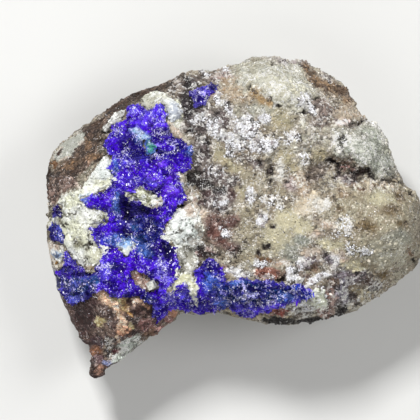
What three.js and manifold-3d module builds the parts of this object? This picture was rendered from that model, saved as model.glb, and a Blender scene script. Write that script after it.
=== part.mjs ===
// Linarite specimen: a hand-broken piece of vein quartz and iron-stained gossan. Its face carries a crust of
// blue linarite crystals, pale crusts of altered lead minerals around it, a few green crystals and one grey cube.
//
// Millimetres. The specimen lies on its broken back. +Z points up out of the crystal face, +X runs to the right
// across the face and +Y to its top edge. The origin is on the surface it rests on, under the middle of its box.

import * as THREE from "three";
import { mergeVertices } from "three/addons/utils/BufferGeometryUtils.js";
import Module from "manifold-3d";

const wasm = await Module();
wasm.setup();

// ---- driving dimensions ----

const faceLevel = 14.6; // height of the middle of the face above the rest surface
const faceTilt = 0.045; // rise of the face for each millimetre to the right
const edgeDrop = 5.6; // how far the face rolls down towards the rim
const edgeRoll = 3.4; // width of that roll
const backRise = 5.0; // how far the back climbs towards the rim
const backRoll = 7.0; // width of that climb
const flatShare = 0.55; // depth that the broken back would reach below the rest surface, before it is levelled
const reliefStep = 1.05; // spacing of the relief's points
const reliefSize = { x: 42, y: 36 };
const wholeStone = { low: -1, high: 40 }; // heights that lie clear below and above the stone
const wellOutside = 30; // further out than any point of the rim

const crustGap = 0.3; // clearance between a crust and the stone, and between neighbouring crusts
const paleThickness = 0.6;
const blueThickness = 0.9;
const cubeSide = 0.75;
const cubeAt = { x: -8.35, y: -6.8 };
const crustFoot = 9.6; // crusts grow on the face alone, and end above this height

// ---- the stone's shape ----

// Its rim as seen from the face, clockwise from the left-hand edge.
const rim = [
  [-19.1, 3.2], [-18.6, 5.6], [-17.8, 7.5], [-15.6, 8.6], [-14.0, 10.0], [-12.2, 11.3],
  [-10.0, 12.4], [-7.2, 13.3], [-4.6, 14.6], [-2.0, 14.3], [0.6, 15.2], [2.1, 15.9],
  [4.5, 16.1], [6.8, 16.0], [8.0, 14.9], [9.6, 14.2], [10.9, 13.0], [12.4, 10.6],
  [12.9, 9.6], [14.0, 9.5], [14.9, 8.4], [15.7, 5.6], [16.6, 3.0], [17.9, 2.4],
  [18.8, 0.4], [19.1, -2.4], [18.4, -5.2], [17.0, -6.3], [14.5, -7.7], [11.8, -9.3],
  [8.5, -10.3], [5.5, -10.7], [1.0, -10.3], [-1.2, -9.7], [-5.6, -9.6], [-7.2, -10.9],
  [-9.0, -12.4], [-11.5, -14.3], [-13.1, -15.2], [-14.0, -16.1], [-14.7, -15.3], [-14.5, -13.2],
  [-16.0, -11.0], [-17.1, -8.8], [-17.9, -6.0], [-18.8, -3.0], [-18.9, -1.0],
];

// Rises and hollows: centre x and y, the two radii, the turn in degrees and the height in the middle.
const faceMounds = [
  [11.8, -1.2, 5.6, 3.6, -8, 1.9], // lower right boulder
  [13.2, 7.2, 2.4, 2.2, 0, 1.3], // upper right knob
  [4.2, 12.2, 4.8, 2.4, 8, 1.0], // top dome
  [4.2, 7.2, 2.8, 2.2, 0, 0.7],
  [4.0, -1.4, 3.2, 2.6, 0, 0.6],
  [11.2, 4.7, 2.7, 0.7, -12, -2.3], // crack between boulder and knob
  [8.0, 4.3, 1.6, 1.0, 40, -1.0],
  [7.6, 11.0, 1.4, 0.8, -40, -0.8],
  [-3.3, 3.4, 1.2, 2.3, 25, -1.1], // brown groove beside the crystal field
  [-3.4, -3.5, 1.5, 0.8, 0, -1.1],
  [-4.6, 8.6, 1.0, 2.6, 15, -0.7],
  [-9.0, 4.3, 3.2, 1.9, 0, 1.0], // swells and dips under the crystal field
  [-10.3, 0.2, 1.7, 1.0, -20, -1.1],
  [-6.9, -5.2, 1.5, 1.7, 0, 0.8],
  [-12.2, -5.6, 1.6, 1.5, 0, 0.8],
  [-15.9, -0.8, 1.9, 2.0, 0, 0.6],
  [-5.3, -1.1, 1.5, 1.4, 0, 0.8],
  [1.8, -8.0, 4.4, 1.1, -4, 0.8],
  [-11.2, -9.9, 0.9, 2.6, 8, 0.9], // rib down the horn
];
const backMounds = [
  [-11.0, 4.0, 4.5, 3.5, 20, 2.4],
  [11.5, 5.5, 4.0, 3.0, -30, 2.2],
  [-9.5, -8.5, 4.0, 3.5, 0, 2.6],
  [13.5, -5.5, 3.0, 2.2, 10, 1.5],
  [2.5, 12.0, 3.5, 2.0, 0, 1.7],
];

// The horn: the face falls away below the line through these two points, and the back rises there. Both are
// rises for each millimetre from the line, and the face rolls down less at the horn's thin end.
const hornLine = { from: [-17.5, -7.6], to: [-6.0, -9.4], faceFall: 0.42, backClimb: 0.12, rollLoss: 0.12 };

// Broken facets: a point on the facet and the direction that it faces.
const chips = [
  { at: [-12.4, 8.0, 13.2], facing: [-0.62, 0.54, 0.57] }, // long bevel, upper left
  { at: [-17.2, 5.2, 11.6], facing: [-0.72, 0.22, 0.66] },
  { at: [-15.6, -9.6, 11.6], facing: [-0.74, -0.14, 0.66] }, // left side of the horn
  { at: [11.0, 11.2, 13.4], facing: [0.62, 0.5, 0.6] }, // upper right
  { at: [16.2, -7.0, 11.0], facing: [0.36, -0.62, 0.7] }, // lower right
  { at: [7.0, -9.9, 11.6], facing: [0.24, -0.86, 0.45] }, // bottom edge
  { at: [-16.6, 4.0, 4.6], facing: [-0.78, 0.1, -0.62] }, // and round the back
  { at: [-9.0, 11.6, 5.2], facing: [-0.4, 0.66, -0.64] },
  { at: [8.6, 13.2, 4.6], facing: [0.42, 0.6, -0.68] },
  { at: [16.6, 1.2, 4.2], facing: [0.74, 0.16, -0.65] },
  { at: [9.5, -9.2, 3.6], facing: [0.16, -0.74, -0.66] },
  { at: [-13.6, -11.4, 2.4], facing: [-0.3, -0.42, -0.86] },
];

// Slanting breaks round the sides: the compass direction that each faces, the height of the ridge where it meets
// the rim, and how far it leans, in degrees. A positive lean slopes the side in above the ridge, a negative below.
const wallBreaks = [
  { azimuth: 178, ridge: 6.2, lean: 17 },
  { azimuth: 196, ridge: 7.6, lean: -20 },
  { azimuth: 137, ridge: 8.4, lean: -21 },
  { azimuth: 112, ridge: 8.6, lean: 15 },
  { azimuth: 86, ridge: 8.2, lean: -16 },
  { azimuth: 58, ridge: 6.5, lean: 24 },
  { azimuth: 31, ridge: 8.8, lean: -27 },
  { azimuth: 3, ridge: 7.0, lean: 14 },
  { azimuth: -24, ridge: 8.6, lean: -22 },
  { azimuth: -48, ridge: 6.4, lean: 21 },
  { azimuth: -76, ridge: 8.0, lean: -18 },
];

// ---- the crusts' outlines, as seen from the face ----

const linariteField = [
  [-10.7, 10.6], [-9.4, 11.0], [-8.6, 10.1], [-7.4, 11.0], [-7.0, 9.4], [-6.1, 7.8],
  [-4.4, 6.8], [-4.6, 4.8], [-5.8, 4.0], [-5.4, 2.8], [-4.7, 1.7], [-6.0, 1.1],
  [-6.3, 0.1], [-7.3, -1.4], [-6.9, -2.5], [-6.0, -3.2], [-5.6, -4.9], [-6.1, -6.5],
  [-7.0, -7.6], [-5.2, -6.6], [-4.0, -8.7], [-3.8, -5.4], [-2.8, -4.2], [-1.6, -5.0],
  [-0.8, -6.6], [1.0, -6.2], [3.0, -6.5], [5.4, -7.0], [6.3, -6.7], [7.5, -7.9],
  [6.6, -8.4], [5.0, -8.8], [2.4, -9.6], [0.6, -10.1], [-0.4, -9.0], [-3.6, -9.5],
  [-6.8, -9.0], [-7.5, -10.4], [-8.3, -10.0], [-8.2, -8.9], [-9.8, -7.8], [-11.8, -7.9],
  [-13.5, -7.2], [-15.2, -8.4], [-16.8, -8.6], [-17.8, -5.6], [-17.1, -4.9], [-16.9, -3.4],
  [-15.8, -5.1], [-13.9, -5.7], [-12.8, -3.4], [-14.2, -2.2], [-14.4, -1.1], [-12.7, -0.7],
  [-12.5, 0.5], [-14.4, 1.0], [-15.5, 1.6], [-12.9, 2.5], [-12.0, 3.3], [-12.4, 5.0],
  [-12.0, 5.9], [-13.0, 7.0], [-12.0, 9.0], [-11.0, 9.5],
];
const stoneIsland = [
  [-10.8, -5.2], [-9.3, -5.4], [-8.2, -6.0], [-7.5, -6.5], [-7.6, -7.5], [-9.0, -7.7], [-10.3, -6.4],
];
const paleIsland = [
  [-11.2, 2.5], [-9.6, 3.0], [-7.8, 2.4], [-7.4, 1.4], [-8.7, 1.1], [-10.2, 1.7],
];
const whiteCore = [[-12.0, -2.8], [-10.5, -2.2], [-9.8, -3.4], [-10.9, -4.3]];
const greenTuft = [[-9.5, 7.6], [-8.4, 7.8], [-7.6, 6.4], [-8.8, 6.0]];

const linariteTop = [[-4.2, 12.3], [-3.6, 12.9], [-1.6, 13.1], [-2.5, 12.3], [-3.0, 11.3], [-4.0, 10.9]];
const linariteLeftEdge = [[-18.3, -0.6], [-17.7, -0.9], [-17.0, -2.5], [-18.4, -2.2]];
const linariteBead = [[-18.2, 0.9], [-17.7, 1.0], [-17.4, 0.4], [-17.7, -0.1], [-18.2, 0.1]];

const paleLeft = [
  [-17.7, 1.9], [-15.0, 2.8], [-14.2, 4.4], [-12.9, 5.8], [-11.6, 5.0], [-11.6, -0.2],
  [-13.2, -4.2], [-14.0, -5.5], [-15.8, -4.9], [-16.8, -3.0], [-17.8, -2.4], [-17.6, 0.4],
];
const paleTop = [
  [-9.4, 11.6], [-8.4, 12.5], [-7.2, 12.4], [-6.4, 11.7], [-5.5, 11.1], [-5.4, 9.8], [-6.6, 9.4],
  [-7.2, 11.0], [-8.6, 10.1], [-9.0, 11.1],
];
const paleStrip = [[-13.4, 8.6], [-12.1, 10.2], [-11.0, 10.7], [-10.2, 10.2], [-12.0, 7.8]];
const paleMiddle = [
  [-6.0, 0.3], [-4.4, 0.9], [-3.9, -0.4], [-3.5, -1.6], [-3.7, -2.9], [-4.9, -3.2], [-6.4, -2.4], [-7.2, -1.8],
];
const paleFork = [
  [-6.1, -5.4], [-4.9, -5.3], [-4.1, -6.2], [-3.9, -7.8], [-4.1, -8.6], [-5.0, -7.2], [-6.8, -7.5], [-6.6, -6.4],
];
const paleEdge = [[-18.2, -2.6], [-17.3, -2.8], [-17.0, -4.3], [-17.9, -4.8], [-18.4, -3.8]];
const paleKnot = [[7.8, -7.4], [8.6, -7.2], [9.1, -8.4], [8.7, -9.1], [7.7, -8.9]];

// ---- materials ----

function mineral(colour, roughness) {
  return new THREE.MeshStandardMaterial({ color: colour, roughness, metalness: 0 });
}
const hostRock = mineral(0xa39d8e, 0.85);
const linarite = mineral(0x3a22b4, 0.35);
const paleCrust = mineral(0xdadcd0, 0.8);
const whiteCrust = mineral(0xe6eef2, 0.7);
const greenCrystal = mineral(0x4f9c86, 0.45);
const greyMetal = new THREE.MeshStandardMaterial({ color: 0xb4b4aa, roughness: 0.4, metalness: 0.3 });

// ---- solids ----

const { smoothstep, degToRad } = THREE.MathUtils;

function solidOf(geometry) {
  const bare = geometry.clone();
  bare.deleteAttribute("normal");
  bare.deleteAttribute("uv");
  const merged = mergeVertices(bare, 1e-4);
  const triVerts = new Uint32Array(merged.index.array);
  return new wasm.Manifold(
    new wasm.Mesh({ numProp: 3, vertProperties: merged.attributes.position.array, triVerts }),
  );
}

function geometryOf(solid) {
  const mesh = solid.getMesh();
  const stride = mesh.numProp;
  const position = new Float32Array(mesh.numVert * 3);
  for (let i = 0; i < mesh.numVert; i++) {
    position.set(mesh.vertProperties.subarray(i * stride, i * stride + 3), i * 3);
  }
  return new THREE.BufferGeometry()
    .setAttribute("position", new THREE.BufferAttribute(position, 3))
    .setIndex(new THREE.BufferAttribute(mesh.triVerts, 1));
}

// A boolean can leave crumbs, so a piece is the largest body of what it returns.
function largestBody(solid) {
  return solid.decompose().sort((a, b) => b.volume() - a.volume())[0];
}

// A column of the given outline, from low to high.
function column(outline, low, high, holes = []) {
  const counterClockwise = (list) => {
    const points = list.map(([x, y]) => new THREE.Vector2(x, y));
    return THREE.ShapeUtils.isClockWise(points) ? points.reverse() : points;
  };
  const shape = new THREE.Shape(counterClockwise(outline));
  shape.holes = holes.map((hole) => new THREE.Path(counterClockwise(hole)));
  const geometry = new THREE.ExtrudeGeometry(shape, { depth: high - low, bevelEnabled: false });
  return geometry.translate(0, 0, low);
}

// ---- relief ----

// How far a point lies inside the rim.
function insetOf(x, y) {
  const point = new THREE.Vector3(x, y, 0);
  const nearest = new THREE.Vector3();
  const edge = new THREE.Line3();
  const distances = rim.map(([ax, ay], i) => {
    const [bx, by] = rim[(i + 1) % rim.length];
    edge.set(new THREE.Vector3(ax, ay, 0), new THREE.Vector3(bx, by, 0));
    return edge.closestPointToPoint(point, true, nearest).distanceTo(point);
  });
  return Math.min(...distances);
}

function insideRim(x, y) {
  let inside = false;
  rim.forEach(([ax, ay], i) => {
    const [bx, by] = rim[(i + 1) % rim.length];
    if (ay > y !== by > y && x < ax + ((y - ay) * (bx - ax)) / (by - ay)) inside = !inside;
  });
  return inside;
}

function moundHeight(mounds, x, y) {
  return mounds.reduce((sum, [cx, cy, rx, ry, turn, height]) => {
    const angle = degToRad(turn);
    const along = ((x - cx) * Math.cos(angle) + (y - cy) * Math.sin(angle)) / rx;
    const across = ((y - cy) * Math.cos(angle) - (x - cx) * Math.sin(angle)) / ry;
    return sum + height * Math.exp(-(along * along + across * across));
  }, 0);
}

// Small unevenness, from crossed waves that never line up.
function unevenness(x, y) {
  return (
    0.22 * Math.sin(1.31 * x + 0.57 * y + 0.4) * Math.cos(1.07 * y - 0.43 * x) +
    0.14 * Math.sin(2.3 * x - 1.9 * y + 1.1) +
    0.1 * Math.cos(2.9 * y + 0.8 * x - 0.6)
  );
}

// How far a point lies below the line where the horn begins.
function hornReach(x, y) {
  const [ax, ay] = hornLine.from;
  const [bx, by] = hornLine.to;
  const length = Math.hypot(bx - ax, by - ay);
  const below = ((x - ax) * (by - ay) - (y - ay) * (bx - ax)) / length;
  return x < hornLine.to[0] ? Math.max(0, below) : 0;
}

function faceHeight(x, y) {
  const inset = insideRim(x, y) ? insetOf(x, y) : 0;
  const roll = 1 - Math.min(1, inset / edgeRoll);
  const reach = hornReach(x, y);
  const drop = edgeDrop * Math.max(0, 1 - hornLine.rollLoss * reach);
  return (
    faceLevel +
    faceTilt * x +
    moundHeight(faceMounds, x, y) +
    unevenness(x, y) -
    drop * roll * roll -
    hornLine.faceFall * reach
  );
}

function backHeight(x, y) {
  const inset = insideRim(x, y) ? insetOf(x, y) : 0;
  const climb = backRise * (1 - smoothstep(inset, 0, backRoll));
  const raw =
    climb +
    moundHeight(backMounds, x, y) +
    1.6 * unevenness(y, x) +
    hornLine.backClimb * hornReach(x, y) -
    flatShare;
  return Math.max(0, raw);
}

// ---- the stone ----

function reliefBlock() {
  const { x: width, y: height } = reliefSize;
  const columns = Math.round(width / reliefStep);
  const rows = Math.round(height / reliefStep);
  const block = new THREE.BoxGeometry(width, height, 2, columns, rows, 1);
  const position = block.attributes.position;
  for (let i = 0; i < position.count; i++) {
    const x = position.getX(i);
    const y = position.getY(i);
    position.setZ(i, position.getZ(i) > 0 ? faceHeight(x, y) : backHeight(x, y));
  }
  return block;
}

// A large block whose near face is the facet.
function chipBlock({ at, facing }) {
  const side = 2 * wellOutside;
  const turn = new THREE.Quaternion().setFromUnitVectors(
    new THREE.Vector3(0, 0, 1),
    new THREE.Vector3(...facing).normalize(),
  );
  return new THREE.BoxGeometry(side, side, side)
    .translate(0, 0, side / 2)
    .applyQuaternion(turn)
    .translate(...at);
}

// The facet of a slanting break. It leaves the rim whole, because it starts at the rim's furthest point.
function wallChip({ azimuth, ridge, lean }) {
  const outwards = new THREE.Vector2(Math.cos(degToRad(azimuth)), Math.sin(degToRad(azimuth)));
  const reach = Math.max(...rim.map(([x, y]) => outwards.x * x + outwards.y * y));
  const slope = Math.cos(degToRad(lean));
  return {
    at: [outwards.x * reach, outwards.y * reach, ridge],
    facing: [outwards.x * slope, outwards.y * slope, Math.sin(degToRad(lean))],
  };
}

function brokenStone() {
  const rimColumn = solidOf(column(rim, wholeStone.low, wholeStone.high));
  let stone = solidOf(reliefBlock()).intersect(rimColumn);
  for (const facet of [...chips, ...wallBreaks.map(wallChip)]) {
    stone = stone.subtract(solidOf(chipBlock(facet)));
  }
  return geometryOf(largestBody(stone));
}

const stone = brokenStone();

// ---- the crusts ----

// The space between two copies of the stone's face, one lifted to the underside and one to the top of a crust.
function faceLayer(thickness) {
  const under = solidOf(stone.clone().translate(0, 0, crustGap));
  const top = solidOf(stone.clone().translate(0, 0, crustGap + thickness));
  return top.subtract(under);
}

const layers = { pale: faceLayer(paleThickness), blue: faceLayer(blueThickness) };

function crust(layer, outline, holes = []) {
  return layer.intersect(solidOf(column(outline, crustFoot, wholeStone.high, holes)));
}

// The crust without what lies within one gap of its neighbour's outline.
function clearOf(solid, outline, holes = []) {
  const steps = 8;
  let cleared = solid;
  for (let i = 0; i < steps; i++) {
    const angle = (i / steps) * 2 * Math.PI;
    const neighbour = column(outline, wholeStone.low, wholeStone.high + 1, holes);
    neighbour.translate(crustGap * Math.cos(angle), crustGap * Math.sin(angle), 0);
    cleared = cleared.subtract(solidOf(neighbour));
  }
  return cleared;
}

const linariteHoles = [stoneIsland, paleIsland, whiteCore, greenTuft];

function linariteCrust(outline, holes = []) {
  return geometryOf(largestBody(crust(layers.blue, outline, holes)));
}

// Pale crusts grow around the linarite, so they give way to it.
function paleCrustBy(outline, neighbours) {
  let solid = crust(layers.pale, outline);
  for (const [neighbour, holes] of neighbours) solid = clearOf(solid, neighbour, holes);
  return geometryOf(largestBody(solid));
}

// Small patches inside a hole of the linarite field shrink by the gap.
function inlay(layer, outline) {
  const side = wellOutside;
  const surroundings = [[-side, -side], [side, -side], [side, side], [-side, side]];
  const solid = clearOf(crust(layer, outline), surroundings, [outline]);
  return geometryOf(largestBody(solid));
}

// The cube stands on a corner, so its middle is nearly a whole side above the stone.
function greyCube() {
  const { x, y } = cubeAt;
  const turned = new THREE.Euler(degToRad(18), degToRad(-14), degToRad(27));
  const middle = faceHeight(x, y) + crustGap + 0.9 * cubeSide;
  return new THREE.BoxGeometry(cubeSide, cubeSide, cubeSide)
    .applyQuaternion(new THREE.Quaternion().setFromEuler(turned))
    .translate(x, y, middle);
}

// ---- assembly ----

const specimen = new THREE.Group();

function place(name, geometry, material) {
  const mesh = new THREE.Mesh(geometry, material);
  mesh.name = name;
  specimen.add(mesh);
}

const field = [linariteField, []];

place("host_rock", stone, hostRock);
place("linarite_field", linariteCrust(linariteField, linariteHoles), linarite);
place("linarite_top_patch", linariteCrust(linariteTop), linarite);
place("linarite_left_patch", linariteCrust(linariteLeftEdge), linarite);
place("linarite_bead", linariteCrust(linariteBead), linarite);
place("pale_crust_left", paleCrustBy(paleLeft, [field, [linariteLeftEdge], [linariteBead], [paleEdge]]), paleCrust);
place("pale_crust_top", paleCrustBy(paleTop, [field]), paleCrust);
place("pale_crust_strip", paleCrustBy(paleStrip, [field]), paleCrust);
place("pale_crust_middle", paleCrustBy(paleMiddle, [field]), paleCrust);
place("pale_crust_fork", paleCrustBy(paleFork, [field]), paleCrust);
place("pale_crust_edge", paleCrustBy(paleEdge, [field, [linariteLeftEdge]]), paleCrust);
place("pale_crust_knot", paleCrustBy(paleKnot, [field]), paleCrust);
place("pale_crust_island", inlay(layers.pale, paleIsland), paleCrust);
place("white_crust_core", inlay(layers.pale, whiteCore), whiteCrust);
place("green_tuft", inlay(layers.blue, greenTuft), greenCrystal);
place("grey_cube", greyCube(), greyMetal);

// The origin goes under the middle of the whole specimen's box.
const box = new THREE.Box3().setFromObject(specimen);
const middle = box.getCenter(new THREE.Vector3());
specimen.position.set(-middle.x, -middle.y, -box.min.z);

export default specimen;
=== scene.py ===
import math

import bmesh
import bpy
import numpy as np
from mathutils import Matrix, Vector, noise
from mathutils.bvhtree import BVHTree


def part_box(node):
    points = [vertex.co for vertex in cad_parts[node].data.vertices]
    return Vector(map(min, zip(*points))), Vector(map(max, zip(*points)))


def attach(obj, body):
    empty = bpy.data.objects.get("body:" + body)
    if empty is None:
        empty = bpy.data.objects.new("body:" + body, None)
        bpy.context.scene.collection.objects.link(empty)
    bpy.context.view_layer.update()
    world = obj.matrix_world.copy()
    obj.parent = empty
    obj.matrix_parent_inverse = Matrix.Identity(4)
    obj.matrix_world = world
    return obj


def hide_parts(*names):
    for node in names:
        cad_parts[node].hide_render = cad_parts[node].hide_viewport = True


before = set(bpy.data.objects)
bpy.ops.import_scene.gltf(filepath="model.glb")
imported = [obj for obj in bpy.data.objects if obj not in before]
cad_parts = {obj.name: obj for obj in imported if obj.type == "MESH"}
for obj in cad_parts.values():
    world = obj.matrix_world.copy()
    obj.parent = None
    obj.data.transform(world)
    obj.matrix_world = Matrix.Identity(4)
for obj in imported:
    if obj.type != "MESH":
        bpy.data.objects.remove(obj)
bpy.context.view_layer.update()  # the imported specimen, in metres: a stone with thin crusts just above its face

stoneLow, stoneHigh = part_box("host_rock")
middle = (stoneLow + stoneHigh) / 2
width = stoneHigh.x - stoneLow.x
step = width / 38  # places and sizes below are counted in these steps, from the middle
weldDistance = 0.001 * step
depsgraph = bpy.context.evaluated_depsgraph_get
scene = bpy.context.scene


def tone(red, green, blue):
    # a screen colour, 0 to 255, as the linear colour that shaders use
    linear = [((c / 255 + 0.055) / 1.055) ** 2.4 if c > 10 else c / 3295 for c in (red, green, blue)]
    return (*linear, 1.0)


# node trees

class Wire:
    # a socket of a node tree; arithmetic on it adds Math nodes
    def __init__(self, graph, socket):
        self.graph = graph
        self.socket = socket

    def math(self, operation, *others):
        return self.graph.node("ShaderNodeMath", {"operation": operation}, dict(enumerate((self, *others))))

    def __add__(self, other):
        return self.math("ADD", other)

    def __sub__(self, other):
        return self.math("SUBTRACT", other)

    def __rsub__(self, other):
        return self.graph.node("ShaderNodeMath", {"operation": "SUBTRACT"}, {0: other, 1: self})

    def __mul__(self, other):
        return self.math("MULTIPLY", other)

    __radd__ = __add__
    __rmul__ = __mul__

    def rise(self, low, high):
        # 0 below low, 1 above high, smooth between
        return self.graph.node(
            "ShaderNodeMapRange", {"interpolation_type": "SMOOTHSTEP"},
            {"Value": self, "From Min": low, "From Max": high},
        )

    def near(self, value, width):
        # 1 at that value, 0 further off than the width
        return (self - value).math("ABSOLUTE").rise(width, width * 0.3)


class Graph:
    def __init__(self, tree):
        self.tree = tree

    def node(self, kind, settings=None, inputs=None, output=None):
        made = self.tree.nodes.new(kind)
        for name, value in (settings or {}).items():
            setattr(made, name, value)
        for key, value in (inputs or {}).items():
            socket = self.pick(made.inputs, key)
            if isinstance(value, Wire):
                self.tree.links.new(value.socket, socket)
            else:
                socket.default_value = value
        return Wire(self, self.pick(made.outputs, output)) if len(made.outputs) else None

    def pick(self, sockets, key):
        if isinstance(key, int):
            return sockets[key]
        return next(s for s in sockets if s.enabled and key in (None, s.name))


class Finish(Graph):
    # a material built round one Principled shader
    def __init__(self, name, constants):
        self.material = bpy.data.materials.new(name)
        self.material.use_nodes = True
        super().__init__(self.material.node_tree)
        self.surface = self.tree.nodes["Principled BSDF"]
        for socket, value in constants.items():
            self.surface.inputs[socket].default_value = value
        self.place = self.node("ShaderNodeTexCoord", output="Object")

    def feed(self, socket, wire):
        self.tree.links.new(wire.socket, self.surface.inputs[socket])

    def attribute(self, name, output="Fac"):
        return self.node("ShaderNodeAttribute", {"attribute_name": name}, output=output)

    def speckle(self, size, detail=2, seed=0, roughness=0.6, distortion=0):
        shifted = self.node(
            "ShaderNodeVectorMath", {"operation": "ADD"},
            {0: self.place, 1: (seed * 0.37, seed * 0.11, seed * 0.23)},
        )
        return self.node("ShaderNodeTexNoise", {}, {
            "Vector": shifted, "Scale": 1 / (size * step), "Detail": detail, "Roughness": roughness,
            "Distortion": distortion,
        })

    def mix(self, factor, first, second, blend="MIX"):
        return self.node(
            "ShaderNodeMix", {"data_type": "RGBA", "blend_type": blend, "clamp_result": True},
            {"Factor": factor, "A": first, "B": second},
        )

    def bump(self, height, depth):
        return self.node("ShaderNodeBump", {}, {"Height": height, "Distance": depth * step})


# fields over a mesh's points, as numpy arrays

def readAll(items, field, width=1, kind=np.float32):
    # a value for each item, or a row of so many
    found = np.empty(len(items) * width, kind)
    items.foreach_get(field, found)
    return found.reshape(-1, width) if width > 1 else found


def pointsOf(mesh):
    return readAll(mesh.vertices, "co", 3).astype(float)


def normalsOf(mesh):
    return readAll(mesh.vertex_normals, "vector", 3).astype(float)


def fieldOf(mesh, name):
    return readAll(mesh.attributes[name].data, "value").astype(float)


def setPoints(mesh, points):
    mesh.vertices.foreach_set("co", points.astype(np.float32).ravel())
    mesh.update()


def inSteps(points):
    # places counted in steps, across the face from its middle and up from the foot
    return (points - np.array([middle.x, middle.y, stoneLow.z])) / step


def wave(places, size, seed, octaves=2):
    # smooth noise from -1 to 1 whose swells are about that size
    shifted = places / size + np.array([seed * 17.3, seed * 5.9, seed * 11.1])
    return np.array([noise.fractal(p, 1.0, 2.1, octaves) for p in shifted.tolist()])


def ramp(values, low, high):
    t = np.clip((values - low) / (high - low), 0, 1)
    return t * t * (3 - 2 * t)


def nearSpots(places, spots):
    # 1 in the middle of a spot, a half on its outline
    best = np.zeros(len(places))
    for x, y, along, across, *turn in spots:
        angle = math.radians(sum(turn))
        c, s = math.cos(angle), math.sin(angle)
        u = ((places[:, 0] - x) * c + (places[:, 1] - y) * s) / along
        v = ((places[:, 1] - y) * c - (places[:, 0] - x) * s) / across
        best = np.maximum(best, 0.5 ** (u * u + v * v))
    return best


def turned(places, turn, stretch):
    # the same places seen along a direction, and drawn together along it, so that noise makes streaks
    c, s = math.cos(math.radians(turn)), math.sin(math.radians(turn))
    moved = places.copy()
    moved[:, 0] = (places[:, 0] * c + places[:, 1] * s) / stretch
    moved[:, 1] = places[:, 1] * c - places[:, 0] * s
    return moved


def ragged(places, seed, reach, walls=0.0):
    # the same places, pushed about, so that what is drawn on them has a ragged outline
    moved = places.copy()
    lower = np.maximum(zoneLook["wallTop"] - places[:, 2], 0) * walls
    coarse, fine = zoneLook["ragged"]
    for axis in (0, 1):
        strays = wave(places, coarse, seed + axis, 3) + 0.6 * wave(places, fine, seed + 5 + axis, 3)
        moved[:, axis] += reach * strays
        moved[:, axis] += lower * wave(places, 3.0, seed + 2 + axis, 3)
    moved[:, 2] += 3 * walls * wave(places, 2.0, seed + 4, 3)
    return moved


# zones of colour

zoneLook = {
    "ragged": (1.3, 0.4),  # sizes of the coarse and fine waves in a zone's outline
    "reach": 0.35,  # how far it strays
    "walls": 0.5,  # how much more it strays on the walls, below the height that comes next
    "wallTop": 8,
    "soft": 0.33,  # half-width of a zone's edge, where it has none of its own
    "mottle": (0.75, 0.16),  # size of the patches of second colour, and half-width of their edges
    "streaks": (0.3, 3.5),  # size and stretch of those patches in a zone with a turn
    "patches": (0.8, 0.2),  # size of the patches that specks come in, and half-width of their edges
}


def zone(name, colour, second, dark, light, spots, **more):
    # two colours that mottle each other, the shares of dark and light specks, and where:
    # a spot is x, y, two radii and, where it is turned, its turn in degrees
    look = {"name": name, "dark": dark, "light": light, "spots": spots, **more}
    if colour:
        look.update(colour=colour, second=second)
    return look


def measured(look, key):
    value = tone(*look[key]) if key in ("colour", "second") else look[key]
    return np.array(value, float)


def paint(mesh, base, zones, seed):
    # lays the zones' looks over the base look, in the order of the list, and stores them on the points:
    # ground is the colour, the others are shares, such as that of dark or light specks
    places = inSteps(pointsOf(mesh))
    worn = ragged(places, seed, zoneLook["reach"], zoneLook["walls"])
    size, edge = zoneLook["mottle"]
    mottle = wave(places, size, seed + 20, 3)
    streakSize, stretch = zoneLook["streaks"]
    layers = {key: np.tile(measured(base, key).reshape(1, -1), (len(places), 1)) for key in base}
    for look in zones:
        soft = look.get("soft", zoneLook["soft"])
        mask = ramp(nearSpots(worn, look["spots"]), 0.5 - soft, 0.5 + soft)
        if "above" in look:
            mask *= ramp(worn[:, 2], look["above"] - 1, look["above"] + 1)
        if "turn" in look:
            streaks = wave(turned(places, look["turn"], stretch), streakSize, seed + 9, 3)
            mottle += (streaks - mottle) * mask
        for key in layers:
            if key in look:
                layers[key] += (measured(look, key) - layers[key]) * mask[:, None]
    colour, second = layers.pop("colour"), layers.pop("second")
    store(mesh, "ground", colour + (second - colour) * ramp(mottle, -edge, edge)[:, None])
    size, edge = zoneLook["patches"]
    for key, other in (("dark", 30), ("light", 40)):
        layers[key] *= 0.25 + 1.5 * ramp(wave(places, size, seed + other, 3), -edge, edge)[:, None]
    for key in layers:
        store(mesh, key, layers[key][:, 0])


def store(mesh, name, values):
    kind, field = ("FLOAT_COLOR", "color") if values.ndim == 2 else ("FLOAT", "value")
    mesh.attributes.new(name, kind, "POINT").data.foreach_set(field, values.astype(np.float32).ravel())


def shadeTowards(mesh, share, colour):
    ground = readAll(mesh.attributes["ground"].data, "color", 4).astype(float)
    ground += (np.array(tone(*colour)) - ground) * share[:, None]
    mesh.attributes["ground"].data.foreach_set("color", ground.astype(np.float32).ravel())


# meshes

def newPiece(name, mesh, *finishes):
    piece = bpy.data.objects.new(name, mesh)
    scene.collection.objects.link(piece)
    for finish in finishes:
        mesh.materials.append(finish.material)
    return piece


def meshOf(shape, name):
    mesh = bpy.data.meshes.new(name)
    shape.to_mesh(mesh)
    shape.free()
    return mesh


def settled(piece):
    # the piece's mesh, once its modifiers are applied
    mesh = bpy.data.meshes.new_from_object(piece.evaluated_get(depsgraph()), depsgraph=depsgraph())
    piece.modifiers.clear()
    piece.data = mesh
    return mesh


def fineCopy(nodes, name, voxel):
    # an evenly meshed, closed copy of CAD pieces
    shape = bmesh.new()
    for node in nodes:
        shape.from_mesh(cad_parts[node].data)
    bmesh.ops.remove_doubles(shape, verts=shape.verts, dist=weldDistance)
    piece = newPiece(name, meshOf(shape, name))
    remesh = piece.modifiers.new("even", "REMESH")
    remesh.mode = "VOXEL"
    remesh.voxel_size = voxel * step
    remesh.use_smooth_shade = True
    settled(piece)
    return piece


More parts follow.
